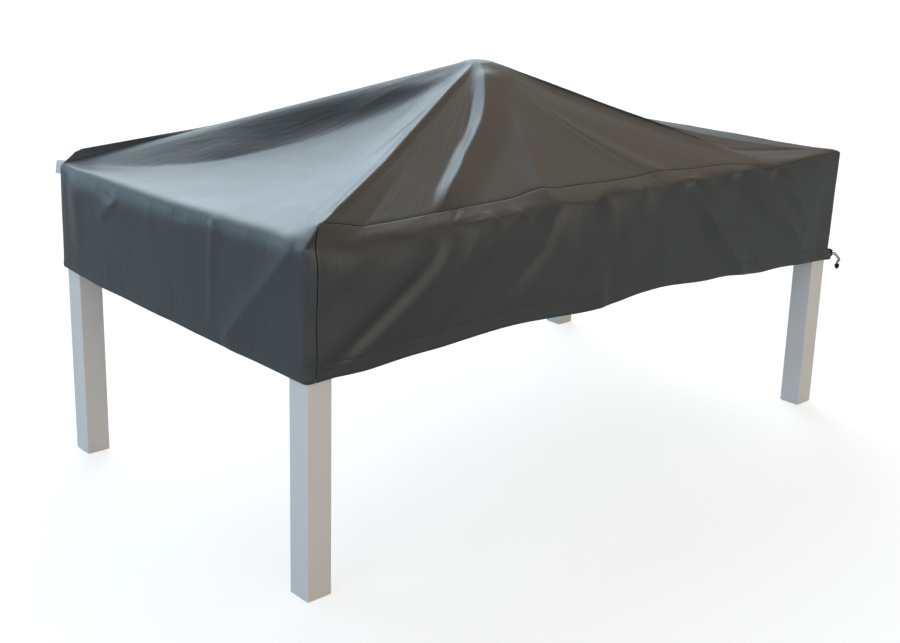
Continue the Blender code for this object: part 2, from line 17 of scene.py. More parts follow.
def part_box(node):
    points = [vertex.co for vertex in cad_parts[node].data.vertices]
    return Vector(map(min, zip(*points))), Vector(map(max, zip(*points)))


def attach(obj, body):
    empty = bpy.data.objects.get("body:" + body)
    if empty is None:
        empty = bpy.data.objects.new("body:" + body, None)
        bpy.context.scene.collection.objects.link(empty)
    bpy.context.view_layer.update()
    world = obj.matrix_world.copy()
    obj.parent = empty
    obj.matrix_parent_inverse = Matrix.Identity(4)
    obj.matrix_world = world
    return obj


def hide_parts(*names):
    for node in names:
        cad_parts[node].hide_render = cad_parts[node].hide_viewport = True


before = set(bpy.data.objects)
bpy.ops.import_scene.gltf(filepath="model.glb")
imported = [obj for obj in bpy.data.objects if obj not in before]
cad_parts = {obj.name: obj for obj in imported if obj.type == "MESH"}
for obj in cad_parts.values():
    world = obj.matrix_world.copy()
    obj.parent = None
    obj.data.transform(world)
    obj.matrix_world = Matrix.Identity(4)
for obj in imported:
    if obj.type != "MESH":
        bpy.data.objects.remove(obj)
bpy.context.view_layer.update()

# ---- sizes read from the frame ------------------------------------------------------------
top_low, top_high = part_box("table_top")
prop_low, prop_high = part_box("peak_prop")
STAND_X = (top_low.x + top_high.x) / 2
TABLE_LENGTH = top_high.x - top_low.x
TABLE_WIDTH = top_high.y - top_low.y
TABLE_HEIGHT = top_high.z

# ---- sizes of the cloth -------------------------------------------------------------------
CLOTH = 0.0012
EDGE_GAP = 0.006         # the cloth clears the table's edge and top by this much
END_SLACK = 0.014        # the cover is this much longer than the table, at its right end,
LEAN_FROM = 0.50         # and its skirt leans back under that from here on
CORNER_RADIUS = 0.010
EDGE_LENGTH = TABLE_LENGTH + 2 * EDGE_GAP + END_SLACK
EDGE_WIDTH = TABLE_WIDTH + 2 * EDGE_GAP
LEFT_X = -TABLE_LENGTH / 2 - EDGE_GAP
RIGHT_X = LEFT_X + EDGE_LENGTH
HALF_Y = EDGE_WIDTH / 2
LOOP = 2 * (EDGE_LENGTH + EDGE_WIDTH)
EDGE_Z = TABLE_HEIGHT + EDGE_GAP

# The round cap of cloth over the prop: its size, its crown, and its rings of points.
CAP_RADIUS = 0.041
CAP_CROWN = 0.006
CAP_GAP = 0.005
CAP_RINGS = (0.30, 0.62, 0.84)
CROWN_IN_PROP = 0.6      # how much of the crown is the prop's own dome
RIM_Z = prop_high.z - CAP_CROWN * CROWN_IN_PROP + CAP_GAP

# A seam is a groove: both edges turn in round this radius and stand this far apart. Puckers
# run along it, with so many for each unit of level, and fade out over their reach.
SEAM_TURN = 0.0018
SEAM_HALF_GAP = 0.0007
SEAM_ROWS = (0.0, 0.10, 0.30, 0.60, 1.0)
SEAM_PUCKER = 0.0004
SEAM_PUCKER_PITCH = 0.016
SEAM_PUCKERS_DOWN = 30
SEAM_PUCKER_REACH = 0.010

# The hem: its rows of points, as heights above its edge, and its relief. It is folded double up
# to its depth, bulges over the drawcord, sinks and puckers at its stitches, and ends in a lip.
HEM_ROWS = (0.047, 0.041, 0.0370, 0.0350, 0.0340, 0.0330, 0.0320, 0.0310, 0.0290, 0.0250,
            0.0200, 0.0150, 0.0110, 0.0080, 0.0050, 0.0030, 0.0018, 0.0008, 0.0)
HEM_DEPTH = 0.033
HEM_STEP, HEM_STEP_EASE = 0.0004, 0.004
HEM_CORD_BULGE, HEM_CORD_AT, HEM_CORD_WIDTH = 0.0012, 0.008, 0.006
HEM_TROUGH, HEM_TROUGH_WIDTH = 0.0003, 0.0022
HEM_PUCKER, HEM_PUCKER_PITCH = 0.0005, 0.013
HEM_PUCKER_DROP, HEM_PUCKER_REACH = 0.05, 0.011
HEM_LIP = 0.0018
HEM_RELIEF_TOP = 0.08

# ---- drawcord -----------------------------------------------------------------------------
# Barrel lock with a ribbed body, the plunger in its top and an eyelet for each strand.
LOCK_RADIUS = 0.0085
LOCK_HEIGHT = 0.020
LOCK_SIDES = 48
LOCK_RIBS = 16
LOCK_RIB_DEPTH = 0.0003
LOCK_RIB_ROWS = (7, 8)
PLUNGER_RADIUS = 0.0052
PLUNGER_GAP = 0.0004
PLUNGER_SIDES = 32
EYELET_RADIUS = 0.0018
EYELET_WIRE = 0.0004
EYELET_SIDES, EYELET_ROUND = 20, 8

# Bell on the two cord ends, from the middle of the lock.
BELL_RADIUS = 0.0068
BELL_HEIGHT = 0.014
BELL_SIDES = 40
BELL_OFFSET = (0.006, -0.024, -0.030)

# Strands: each is this far from the middle line, and they leave the lock at this angle from +X
# and this far below its middle.
CORD_DIAMETER = 0.003
CORD_SIDES = 16
STRAND_SPREAD = 0.0022
STRAND_GAP = 0.0007
STRAND_LEAVES = math.radians(-40)
STRAND_DROP = 0.0035
STRAND_STEPS = 8
DOUBLES = 1e-6           # points nearer than this are one

# ---- label --------------------------------------------------------------------------------
# A strip folded in two, with this gap in its middle. At its fold it stands out from the seam
# and to the corner's side, its lower end flares and twists, and it curls and sags a little.
LABEL_WIDTH = 0.026
LABEL_HEIGHT = 0.034
LABEL_CLOTH = 0.0004
LABEL_HALF_GAP = 0.0006
LABEL_LIFT = 0.0080
LABEL_OUT = 0.0020
LABEL_TO_CORNER = 0.007
LABEL_FLARE = 0.0100
LABEL_TWIST = 0.0030
LABEL_CURL = 0.0016
LABEL_SAG = 0.0020
LABEL_SEWN_IN, LABEL_FOLD_AT, LABEL_FOLD_NOSE = 0.12, 0.94, 1.6

# ---- stitches -----------------------------------------------------------------------------
STITCH_PITCH = 0.0042
STITCH_LENGTH = 0.0034
STITCH_THICK = 0.0006
STITCH_RISE = 0.15       # how much of its thickness a stitch stands up
STITCH_END_GAP = 0.008

# ---- spacing of the cloth's points --------------------------------------------------------
# Columns of the main panel over each side, and columns and rows of the other parts.
FRONT_PITCH, LEFT_PITCH, BACK_PITCH, RIGHT_PITCH = 0.0062, 0.0062, 0.0120, 0.0108
FRONT_SIDE_PITCH, BACK_SIDE_PITCH = 0.0050, 0.0090
FRONT_SIDE_ROWS, BACK_SIDE_ROWS = 62, 34
TENT_ROWS, LEFT_END_ROWS, RIGHT_END_ROWS = 38, 38, 26
TENT_ROW_EASE, SKIRT_ROW_EASE = 0.85, 1.12

# Columns crowd round the corners and by the seams, and spread out evenly above them.
CORNER_COLUMNS, CORNER_REACH = 9, 1.5
SEAM_CLEAR = 1.4
NEAREST_COLUMNS = 0.0016
SPREAD_REACH, SPREAD_COLUMNS = 0.06, 20


def on_front(x):
    """Station on the front edge at x."""
    return x - LEFT_X


def on_right(y):
    """Station on the right end at y."""
    return EDGE_LENGTH + y + HALF_Y


def on_back(x):
    """Station on the back edge at x."""
    return EDGE_LENGTH + EDGE_WIDTH + RIGHT_X - x


def on_left(y):
    """Station on the left end at y."""
    return 2 * EDGE_LENGTH + EDGE_WIDTH + HALF_Y - y


def from_near_corner(station):
    """Station at a distance along the front from the near corner."""
    return station


def loop_table(corner, front=(), right=(), back=(), left=()):
    """Rows of (station, value) once round, from (place, value) rows for each side."""
    rows = [(0.0, corner)]
    sides = ((on_front, front), (on_right, right), (on_back, back), (on_left, left))
    for on_side, places in sides:
        rows += [(on_side(place), value) for place, value in places]
    return rows + [(LOOP, corner)]


SEAM_NEAR = on_front(LEFT_X + 0.021)
SEAM_RIGHT = on_right(-HALF_Y + 0.008)
SEAM_FAR = on_right(HALF_Y - 0.010)
SEAM_LEFT = on_back(LEFT_X + 0.016)
SIDE_SPANS = ((SEAM_NEAR, SEAM_RIGHT), (SEAM_FAR, SEAM_LEFT))

# Tables round the top edge: x or y along each side, and the value there. "corner" is the value
# at the near corner. This one is the level of the long seams, 0 at the table's edge.
SEAM_LEVELS = loop_table(
    corner=-0.055,
    front=((-0.82, -0.066), (-0.73, -0.070), (-0.53, -0.082), (-0.38, -0.084), (-0.28, -0.106),
           (-0.18, -0.098), (0.05, -0.084), (0.19, -0.090), (0.34, -0.068), (0.45, -0.058),
           (0.51, -0.030), (0.57, 0.042), (0.64, 0.034), (0.77, 0.008)),
    right=((-HALF_Y, 0.004), (HALF_Y, -0.030)),
    back=((0.45, -0.052), (-0.05, -0.088), (-0.50, -0.074), (LEFT_X, -0.040)))

# Height of the hem above the floor.
HEM_HEIGHTS = loop_table(
    corner=0.470,
    front=((-0.78, 0.473), (-0.60, 0.479), (-0.38, 0.488), (-0.10, 0.475), (0.12, 0.485),
           (0.35, 0.469), (0.60, 0.448)),
    right=((-HALF_Y, 0.429), (0.0, 0.437), (HALF_Y, 0.433)),
    back=((0.30, 0.462), (-0.30, 0.478), (LEFT_X, 0.483)),
    left=((0.30, 0.475),))

# How far the hanging cloth swings out from the edge by the hem.
HEM_SWINGS = loop_table(
    corner=0.001,
    front=((-0.70, 0.008), (-0.20, 0.018), (0.30, 0.016), (0.75, 0.008), (0.86, 0.001)),
    right=((-HALF_Y, 0.000), (-0.25, 0.012), (0.25, 0.012), (HALF_Y, 0.004)),
    back=((0.40, 0.018), (-0.40, 0.018), (LEFT_X, 0.003)),
    left=((0.0, 0.004),))

# Rise of the turned-over edge above its plain height.
EDGE_RISES = loop_table(
    corner=0.004,
    front=((-0.60, 0.001), (0.50, 0.000)),
    right=((-HALF_Y, 0.000), (HALF_Y, 0.001)),
    back=((LEFT_X, 0.002),),
    left=((0.30, 0.006), (-0.30, 0.006)))

# Ridges between the tent's faces, as (level, station).
NEAR_HIP = ((-1.0, 0.0), (0.0, 0.0))
RIGHT_HIP = ((-1.0, on_front(0.60)), (-0.40, on_front(0.61)), (0.0, on_front(0.57)))
BACK_HIP = ((-1.0, on_back(0.70)), (0.0, on_back(0.70)))
LEFT_HIP = ((-1.0, on_back(LEFT_X)), (0.0, on_back(LEFT_X)))
NEAR_HIP_AGAIN = ((-1.0, LOOP), (0.0, LOOP))

# Faces between two ridges: slack, and the width of the drop beside each ridge.
FACES = (
    {"start": NEAR_HIP, "end": RIGHT_HIP, "slack": 0.10, "near": 0.30, "far": 0.20},
    {"start": RIGHT_HIP, "end": BACK_HIP, "slack": 0.80, "near": 0.15, "far": 0.85},
    {"start": BACK_HIP, "end": LEFT_HIP, "slack": 0.30, "near": 0.25, "far": 0.25},
    {"start": LEFT_HIP, "end": NEAR_HIP_AGAIN, "slack": 0.92, "near": None, "far": 0.60},
)

# Crisp valley below the back left ridge: level, distance from the ridge round the edge.
VALLEY_LINE = ((-1.0, 0.80), (-0.80, 0.52), (-0.61, 0.36), (-0.51, 0.30), (-0.44, 0.265),
               (-0.33, 0.240), (-0.235, 0.205), (-0.15, 0.158), (-0.06, 0.088), (0.0, 0.020))
VALLEY_CRISP_FROM, VALLEY_CRISP_OVER = -0.62, 0.30
RIDGE_ROUND = 0.35

# How wide the sheet's turn over the edge is. Lobes are wide and notches narrow. It is rounded
# in so many steps to each side, widest at the edge and plain some turns away from it.
EDGE_TURNS = loop_table(
    corner=0.012,
    front=((-0.84, 0.030), (-0.70, 0.026), (-0.50, 0.018), (-0.30, 0.016), (-0.21, 0.009),
           (-0.15, 0.020), (-0.065, 0.009), (-0.02, 0.022), (0.068, 0.010), (0.11, 0.024),
           (0.19, 0.012), (0.242, 0.009), (0.337, 0.026), (0.435, 0.010), (0.57, 0.020),
           (0.80, 0.016)),
    right=((-HALF_Y, 0.008), (-0.35, 0.022), (0.40, 0.022), (HALF_Y, 0.010)),
    back=((0.40, 0.018), (-0.40, 0.018), (LEFT_X, 0.010)),
    left=((0.46, 0.012), (0.38, 0.020), (0.10, 0.028), (-0.15, 0.042), (-0.36, 0.050),
          (-0.465, 0.030)))
TURN_STEPS = 5
TURN_SPREAD, TURN_FADE, TURN_FADE_OVER = 1.4, 0.4, 3

# How far the skirt bellies out just below the edge, and how far down it does.
EDGE_BELLIES = loop_table(
    corner=0.000,
    front=((-0.88, 0.010), (-0.80, 0.020), (-0.68, 0.015), (-0.50, 0.010), (-0.30, 0.009),
           (-0.21, 0.001), (-0.15, 0.008), (-0.065, 0.001), (-0.015, 0.009), (0.068, 0.002),
           (0.11, 0.009), (0.19, 0.002), (0.242, 0.001), (0.337, 0.009), (0.435, 0.001),
           (0.57, 0.008), (0.80, 0.006)),
    right=((-HALF_Y, 0.000), (-0.25, 0.006), (0.25, 0.006), (HALF_Y, 0.000)),
    back=((0.50, 0.007), (0.00, 0.004), (-0.50, 0.007), (LEFT_X, 0.000)),
    left=((0.47, 0.006), (0.40, 0.016), (0.25, 0.018), (0.02, 0.013), (-0.20, 0.004),
          (-0.40, 0.000)))
BELLY_DEPTH = 0.050

# The near corner's seam leans to the corner above the edge: station, shift, reach and level.
SEAM_LEAN = {"station": 0.021, "shift": -0.021, "reach": 0.06, "level": -0.055}

# Sewn corners that stand up off the table, with their reach along the edge on each side.
CORNER_LIFTS = (
    {"station": 0.010, "level": -0.055, "height": 0.024, "before": 0.10, "after": 0.10},
    {"station": on_back(LEFT_X + 0.016), "level": -0.028, "height": 0.027,
     "before": 0.16, "after": 0.022},
    {"station": on_right(HALF_Y - 0.005), "level": -0.030, "height": 0.010,
     "before": 0.08, "after": 0.08},
    {"station": on_right(-HALF_Y + 0.004), "level": -0.030, "height": 0.004,
     "before": 0.06, "after": 0.06},
)
LIFT_TOP = -0.40         # level at which they have faded out

# Folds, by column: the widths in metres of the flank before the crest, towards smaller
# stations, and of the one after it; the crest's height off the sheet, negative in a valley; the
# parts of the line over which it rises and fades out; 0 for a rounded crest to 1 for a crisp
# one; the side that the line's places are on; and the line, as (place, level) points.
Fold = namedtuple("Fold", "before after height fade crisp side line")
FOLDS = (
    # pleat from the peak to the front seam, steep on its left flank
    Fold(0.042, 0.120, 0.017, (0.12, 0.14), 0.5, on_front,
         ((-0.36, -0.97), (-0.45, -0.60), (-0.535, -0.39), (-0.570, -0.20), (-0.578, -0.08))),
    # rolled crest of the near hip
    Fold(0.040, 0.030, 0.0050, (0.10, 0.06), 0.3, from_near_corner,
         ((0.004, -0.98), (0.004, -0.50), (0.012, -0.10))),
    # the right hip sags between the peak and the edge
    Fold(0.160, 0.070, -0.0060, (0.55, 0.20), 0.0, on_front,
         ((0.60, -0.95), (0.61, -0.40), (0.58, -0.05))),
    # soft fold to the step in the seam
    Fold(0.070, 0.045, 0.006, (0.50, 0.10), 0.6, on_front,
         ((-0.19, -0.72), (-0.25, -0.12), (-0.235, -0.02))),
    # soft fold to the next step, further right
    Fold(0.080, 0.050, 0.0026, (0.50, 0.10), 0.3, on_front,
         ((0.02, -0.80), (0.19, -0.12), (0.20, -0.03))),
    # long folds that sweep from the pleat's foot down to the near corner
    Fold(0.080, 0.040, 0.0095, (0.30, 0.20), 0.1, on_front,
         ((-0.600, 0.05), (-0.675, 0.28), (-0.765, 0.52), (-0.90, 0.92))),
    Fold(0.034, 0.085, 0.0100, (0.22, 0.20), 0.25, on_front,
         ((-0.535, 0.05), (-0.590, 0.36), (-0.690, 0.62), (-0.84, 0.96))),
    Fold(0.055, 0.040, 0.0060, (0.25, 0.35), 0.2, on_front,
         ((-0.42, 0.04), (-0.50, 0.40), (-0.61, 0.85))),
    # crease from the cover's folded storage, from the tent down the skirt
    Fold(0.016, 0.016, -0.0016, (0.25, 0.15), 1.0, on_front,
         ((-0.50, -0.97), (-0.562, -0.283), (-0.529, -0.07), (-0.540, 0.02), (-0.578, 0.21))),
    Fold(0.014, 0.014, -0.0009, (0.30, 0.30), 1.0, on_front,
         ((0.05, -0.80), (0.14, -0.10), (0.14, 0.35))),
    # two short ones beside them
    Fold(0.050, 0.030, 0.0050, (0.10, 0.45), 0.3, on_front,
         ((-0.41, -0.01), (-0.475, 0.11), (-0.53, 0.37), (-0.56, 0.55))),
    Fold(0.045, 0.026, 0.0045, (0.10, 0.45), 0.3, on_front,
         ((-0.33, 0.00), (-0.385, 0.10), (-0.42, 0.20), (-0.46, 0.42))),
    # deep notch with a crisp right side, and the flat facet on its right
    Fold(0.080, 0.034, -0.0085, (0.16, 0.45), 0.45, on_front,
         ((-0.203, -0.02), (-0.223, 0.09), (-0.268, 0.35), (-0.335, 0.54), (-0.40, 0.74))),
    Fold(0.120, 0.045, 0.0085, (0.08, 0.12), 0.6, on_front,
         ((-0.11, -0.01), (-0.118, 0.35), (-0.085, 0.66), (-0.082, 1.05))),
    # notches and hanging folds right of the middle
    Fold(0.035, 0.070, -0.0050, (0.06, 0.70), 0.7, on_front,
         ((-0.062, -0.03), (-0.045, 0.12), (-0.03, 0.60))),
    Fold(0.050, 0.022, 0.0045, (0.10, 0.60), 0.7, on_front,
         ((0.068, 0.00), (0.028, 0.15), (0.000, 0.42))),
    Fold(0.080, 0.080, 0.0045, (0.10, 0.35), 0.2, on_front,
         ((0.13, -0.01), (0.15, 0.40), (0.16, 0.95))),
    Fold(0.050, 0.060, 0.0090, (0.05, 0.22), 0.6, on_front,
         ((0.242, -0.01), (0.325, 0.42), (0.44, 0.84), (0.50, 1.05))),
    Fold(0.045, 0.055, 0.0085, (0.06, 0.40), 0.6, on_front,
         ((0.425, 0.00), (0.525, 0.27), (0.68, 0.58), (0.78, 0.85))),
    Fold(0.040, 0.050, 0.0065, (0.10, 0.50), 0.6, on_front,
         ((0.58, 0.06), (0.72, 0.39), (0.80, 0.65))),
    # left end: the slanting fold by the near corner, an upright one and small crumples
    Fold(0.060, 0.085, 0.0062, (0.12, 0.12), 1.0, on_left,
         ((-0.467, 0.03), (-0.350, 0.46), (-0.217, 0.96))),
    Fold(0.024, 0.034, 0.0026, (0.10, 0.25), 1.0, on_left,
         ((-0.188, 0.05), (-0.180, 0.45), (-0.170, 0.88))),
    Fold(0.035, 0.025, 0.0042, (0.25, 0.45), 0.8, on_left,
         ((0.182, 0.10), (0.288, 0.38))),
    Fold(0.030, 0.025, -0.0032, (0.30, 0.40), 0.8, on_left,
         ((0.300, 0.06), (0.172, 0.18))),
    Fold(0.035, 0.040, 0.0016, (0.20, 0.60), 0.4, on_left,
         ((0.06, 0.04), (0.04, 0.50))),
    Fold(0.024, 0.026, 0.0030, (0.25, 0.45), 0.8, on_left,
         ((-0.170, 0.02), (-0.222, 0.16))),
    Fold(0.018, 0.018, -0.0018, (0.30, 0.40), 0.8, on_left,
         ((-0.03, 0.07), (-0.095, 0.09))),
    Fold(0.050, 0.045, 0.0026, (0.25, 0.40), 0.3, on_left,
         ((0.38, 0.10), (0.42, 0.75))),
    # left top: soft ridges that run to the peak
    Fold(0.040, 0.060, 0.0050, (0.30, 0.50), 0.5, on_left,
         ((-0.10, -0.96), (0.29, -0.80), (0.215, -0.55))),
    Fold(0.050, 0.035, -0.0060, (0.20, 0.55), 0.3, on_left,
         ((-0.38, -0.97), (-0.33, -0.74), (-0.36, -0.40))),
    # lip of the hem at the drawcord's corner
    Fold(0.040, 0.050, 0.011, (0.08, 0.10), 0.0, on_right,
         ((-HALF_Y + 0.004, 0.90), (-HALF_Y + 0.004, 1.60))),
    # crease on the right top
    Fold(0.035, 0.030, -0.0040, (0.30, 0.20), 0.7, on_front,
         ((0.72, -0.26), (0.775, -0.204), (0.859, -0.156), (0.905, -0.09))),
    # right end
    Fold(0.070, 0.060, 0.011, (0.15, 0.30), 0.3, on_right,
         ((-0.20, 0.00), (-0.30, 0.80))),
    Fold(0.070, 0.080, 0.012, (0.15, 0.30), 0.3, on_right,
         ((0.16, 0.00), (0.24, 0.85))),
    Fold(0.060, 0.040, -0.006, (0.25, 0.30), 0.5, on_right,
         ((-0.02, 0.10), (-0.05, 0.90))),
    # back: a pleat from the peak and hanging folds
    Fold(0.050, 0.100, 0.011, (0.30, 0.12), 0.4, on_back,
         ((0.24, -0.95), (0.28, -0.05))),
    Fold(0.060, 0.080, 0.012, (0.12, 0.30), 0.5, on_back,
         ((0.32, 0.00), (0.50, 0.85))),
    Fold(0.090, 0.060, 0.010, (0.12, 0.30), 0.3, on_back,
         ((0.05, 0.00), (0.10, 0.90))),
    Fold(0.060, 0.080, 0.012, (0.12, 0.30), 0.5, on_back,
         ((-0.25, 0.00), (-0.40, 0.85))),
    Fold(0.070, 0.050, 0.009, (0.15, 0.30), 0.5, on_back,
         ((-0.55, 0.02), (-0.72, 0.80))),
)

LEVEL_TO_STATION = 0.3   # rough metres in a level, which shares out a fold's rise and fade

# Fine ripples of the cloth: size of a ripple along and down the hang, and its height. Their
# lines waver by a share of a ripple, and all of it comes from one seeded lattice of numbers.
RIPPLES = (
    {"along": 0.034, "down": 0.16, "height": 0.00022},
    {"along": 0.080, "down": 0.26, "height": 0.00100},
    {"along": 0.060, "down": 0.055, "height": 0.00040},
)
RIPPLE_SEED = 7
WAVER, WAVER_SIZE = 0.3, 0.3
LATTICE = 64

# ---- camera -------------------------------------------------------------------------------
FOCAL_PIXELS = 1290.5
PHOTO_WIDTH = 900
AXIS_RIGHT, AXIS_UP = 11.6, -63.1
CAMERA_AT = (-2.2737, -2.392, 1.3565)
CAMERA_AZIMUTH, CAMERA_DOWN, CAMERA_ROLL = (math.radians(a) for a in (42.02, 15.15, 1.44))
SENSOR_WIDTH = 36.0
FARTHEST_SEEN = 200.0


def placed(name, data):
    """An object in the scene, with its mesh, light or camera."""
    obj = bpy.data.objects.new(name, data)
    bpy.context.scene.collection.objects.link(obj)
    return obj


def add_camera():
    """Camera where the photograph was taken from."""
    data = bpy.data.cameras.new("photo_camera")
    data.sensor_width = SENSOR_WIDTH
    data.lens = FOCAL_PIXELS * data.sensor_width / PHOTO_WIDTH
    data.shift_x = AXIS_RIGHT / PHOTO_WIDTH
    data.shift_y = AXIS_UP / PHOTO_WIDTH
    data.clip_end = FARTHEST_SEEN
    level = math.cos(CAMERA_DOWN)
    ahead = Vector((math.sin(CAMERA_AZIMUTH) * level, math.cos(CAMERA_AZIMUTH) * level,
                    -math.sin(CAMERA_DOWN)))
    right = Vector((math.cos(CAMERA_AZIMUTH), -math.sin(CAMERA_AZIMUTH), 0.0))
    up = right.cross(ahead)
    across = right * math.cos(CAMERA_ROLL) + up * math.sin(CAMERA_ROLL)
    above = up * math.cos(CAMERA_ROLL) - right * math.sin(CAMERA_ROLL)
    camera = placed("photo_camera", data)
    turn = Matrix((across, above, -ahead)).transposed().to_4x4()
    camera.matrix_world = Matrix.Translation(Vector(CAMERA_AT) + Vector((STAND_X, 0, 0))) @ turn
    bpy.context.scene.camera = camera


# ---- the cloth's surface ------------------------------------------------------------------
def from_table(table, station):
    """Smooth value at a station from (station, value) rows that go once round the loop."""
    rows = np.array(table)
    places, values = rows[:, 0], rows[:, 1]
    station = np.mod(station, LOOP)
    index = np.clip(np.searchsorted(places, station, side="right") - 1, 0, len(places) - 2)
    part = (station - places[index]) / (places[index + 1] - places[index])
    ease = part * part * (3 - 2 * part)
    return values[index] + (values[index + 1] - values[index]) * ease


def edge_point(station):
    """Point and outward direction on the rounded rectangle of the cover's top edge."""
    station = np.mod(station, LOOP)
    sides = np.array([0.0, EDGE_LENGTH, EDGE_LENGTH + EDGE_WIDTH,
                      2 * EDGE_LENGTH + EDGE_WIDTH])
    side = np.searchsorted(sides, station, side="right") - 1
    along = station - sides[side]
    x = np.choose(side, [LEFT_X + along, RIGHT_X + 0 * along, RIGHT_X - along,
                         LEFT_X + 0 * along])
    y = np.choose(side, [-HALF_Y + 0 * along, along - HALF_Y, HALF_Y + 0 * along,
                         HALF_Y - along])
    inner_x = np.clip(x, LEFT_X + CORNER_RADIUS, RIGHT_X - CORNER_RADIUS)
    inner_y = np.clip(y, CORNER_RADIUS - HALF_Y, HALF_Y - CORNER_RADIUS)
    out = np.stack([x - inner_x, y - inner_y], axis=-1)
    out /= np.linalg.norm(out, axis=-1, keepdims=True)
    return np.stack([inner_x, inner_y], axis=-1) + CORNER_RADIUS * out, out


def ridge_at(ridge, level):
    """Station of a ridge at a level."""
    levels, stations = np.array(ridge).T
    return np.interp(level, levels, stations)


def slack_at(station, level):
    """How far the tent sags between its ridges, 0 on a ridge."""
    station = np.mod(station, LOOP)
    slack = np.zeros(np.broadcast(station, level).shape)
    levels, valley = np.array(VALLEY_LINE).T
    for face in FACES:
        start, end = ridge_at(face["start"], level), ridge_at(face["end"], level)
        inside = (station >= start) & (station <= end)
        if face["near"] is None:
            rise = np.clip((station - start) / np.interp(level, levels, valley), 0, 1)
            rise = (np.hypot(rise, RIDGE_ROUND) - RIDGE_ROUND) \
                / (math.hypot(1, RIDGE_ROUND) - RIDGE_ROUND)
            crisp = np.clip((level - VALLEY_CRISP_FROM) / VALLEY_CRISP_OVER, 0, 1)
            rise = crisp * rise + (1 - crisp) * np.sin(rise * math.pi / 2)
        else:
            rise = np.sin(np.clip((station - start) / face["near"], 0, 1) * math.pi / 2)
        fall = np.clip((end - station) / face["far"], 0, 1)
        amount = face["slack"] * rise * np.sin(fall * math.pi / 2)
        slack = np.where(inside, amount, slack)
    return slack


def apart(station, other):
    """Signed distance round the loop from one station to another."""
    return np.mod(station - other + LOOP / 2, LOOP) - LOOP / 2


def plain_surface(station, level):
    """The sheet without its folds."""
    edge, out = edge_point(station)
    rim = CAP_RADIUS * edge / np.linalg.norm(edge, axis=-1, keepdims=True)
    hem_z = from_table(HEM_HEIGHTS, station)
    edge_z = EDGE_Z + from_table(EDGE_RISES, station)
    tent = np.clip(-level, 0, 1)
    skirt = np.clip(level, 0, None)

    t = 1 - tent
    drop = t + slack_at(station, level) * t * tent
    z = RIM_Z + (edge_z - RIM_Z) * drop
    for lift in CORNER_LIFTS:
        along = apart(station, lift["station"])
        reach = np.where(along < 0, lift["before"], lift["after"])
        beside = np.clip(1 - np.abs(along) / reach, 0, 1)
        above = np.clip((level - LIFT_TOP) / (lift["level"] - LIFT_TOP), 0, 1)
        below = np.clip(level / lift["level"], 0, 1)
        z = z + lift["height"] * beside * np.minimum(above, below)
    z = z - (edge_z - hem_z) * skirt

    swing = from_table(HEM_SWINGS, station) * np.sin(np.clip(skirt, 0, 1) * math.pi / 2)
    depth = skirt * (edge_z - hem_z) / BELLY_DEPTH
    swing = swing + from_table(EDGE_BELLIES, station) * depth * np.exp(1 - depth)
    flat = edge + (rim - edge) * tent[..., None] + out * swing[..., None]
    lean = np.clip(skirt, 0, 1) * np.clip((edge[..., 0] - LEAN_FROM) / (RIGHT_X - LEAN_FROM), 0, 1)
    flat[..., 0] -= END_SLACK * lean
    return np.concatenate([flat, z[..., None]], axis=-1)


def rolled_surface(station, level):
    """The sheet with its turn over the edge rounded, as a mean over nearby places."""
    above = level_length(station, -1.0)
    below = level_length(station, 1.0)
    down = level * np.where(level < 0, above, below)
    turn = from_table(EDGE_TURNS, station)
    nearness = TURN_SPREAD - TURN_FADE * np.abs(down) / (TURN_FADE_OVER * turn)
    reach = turn * np.clip(nearness, 0, 1)
    total = 0
    weights = 0
    for step in range(-TURN_STEPS, TURN_STEPS + 1):
        weight = (1 + math.cos(math.pi * step / (TURN_STEPS + 1))) / 2
        place = down + step / TURN_STEPS * reach
        total = total + weight * plain_surface(station, place / np.where(place < 0, above, below))
        weights += weight
    return total / weights


def fan_at(station, level):
    """How far a step in station carries at this level, 1 at the edge and less in the tent."""
    edge, _ = edge_point(station)
    return 1 - np.clip(-level, 0, 1) * (1 - CAP_RADIUS / np.linalg.norm(edge, axis=-1))


def fold_height(station, level):
    """How far the folds lift or sink the sheet."""
    fan = fan_at(station, level)
    metre = level_length(station, level)
    height = np.zeros(np.shape(station))
    for fold in FOLDS:
        line = np.array([(fold.side(place), at_level) for place, at_level in fold.line])
        steps = np.hypot(np.diff(line[:, 0]), np.diff(line[:, 1]) * LEVEL_TO_STATION)
        marks = np.concatenate([[0], np.cumsum(steps)]) / steps.sum()
        nearest = np.full(np.shape(station), math.inf)
        side = np.zeros(np.shape(station))
        along = np.zeros(np.shape(station))
        for i in range(len(line) - 1):
            run_s = (line[i + 1, 0] - line[i, 0]) * fan
            run_l = (line[i + 1, 1] - line[i, 1]) * metre
            off_s = apart(station, line[i, 0]) * fan
            off_l = (level - line[i, 1]) * metre
            square = run_s ** 2 + run_l ** 2
            part = np.clip((off_s * run_s + off_l * run_l) / square, 0, 1)
            away = np.hypot(off_s - part * run_s, off_l - part * run_l)
            closer = away < nearest
            turn = np.sign(run_l) * (off_s * run_l - off_l * run_s)
            nearest = np.where(closer, away, nearest)
            side = np.where(closer, turn, side)
            along = np.where(closer, marks[i] + part * (marks[i + 1] - marks[i]), along)
        flank = np.where(side < 0, fold.before, fold.after)
        x = np.clip(nearest / flank, 0, 1)
        crest = (1 - x) ** 2 * (1 + 2 * (1 - fold.crisp) * x)
        rise = np.sin(np.clip(along / fold.fade[0], 0, 1) * math.pi / 2)
        fall = np.sin(np.clip((1 - along) / fold.fade[1], 0, 1) * math.pi / 2)
        height = height + fold.height * crest * rise * fall
    return height


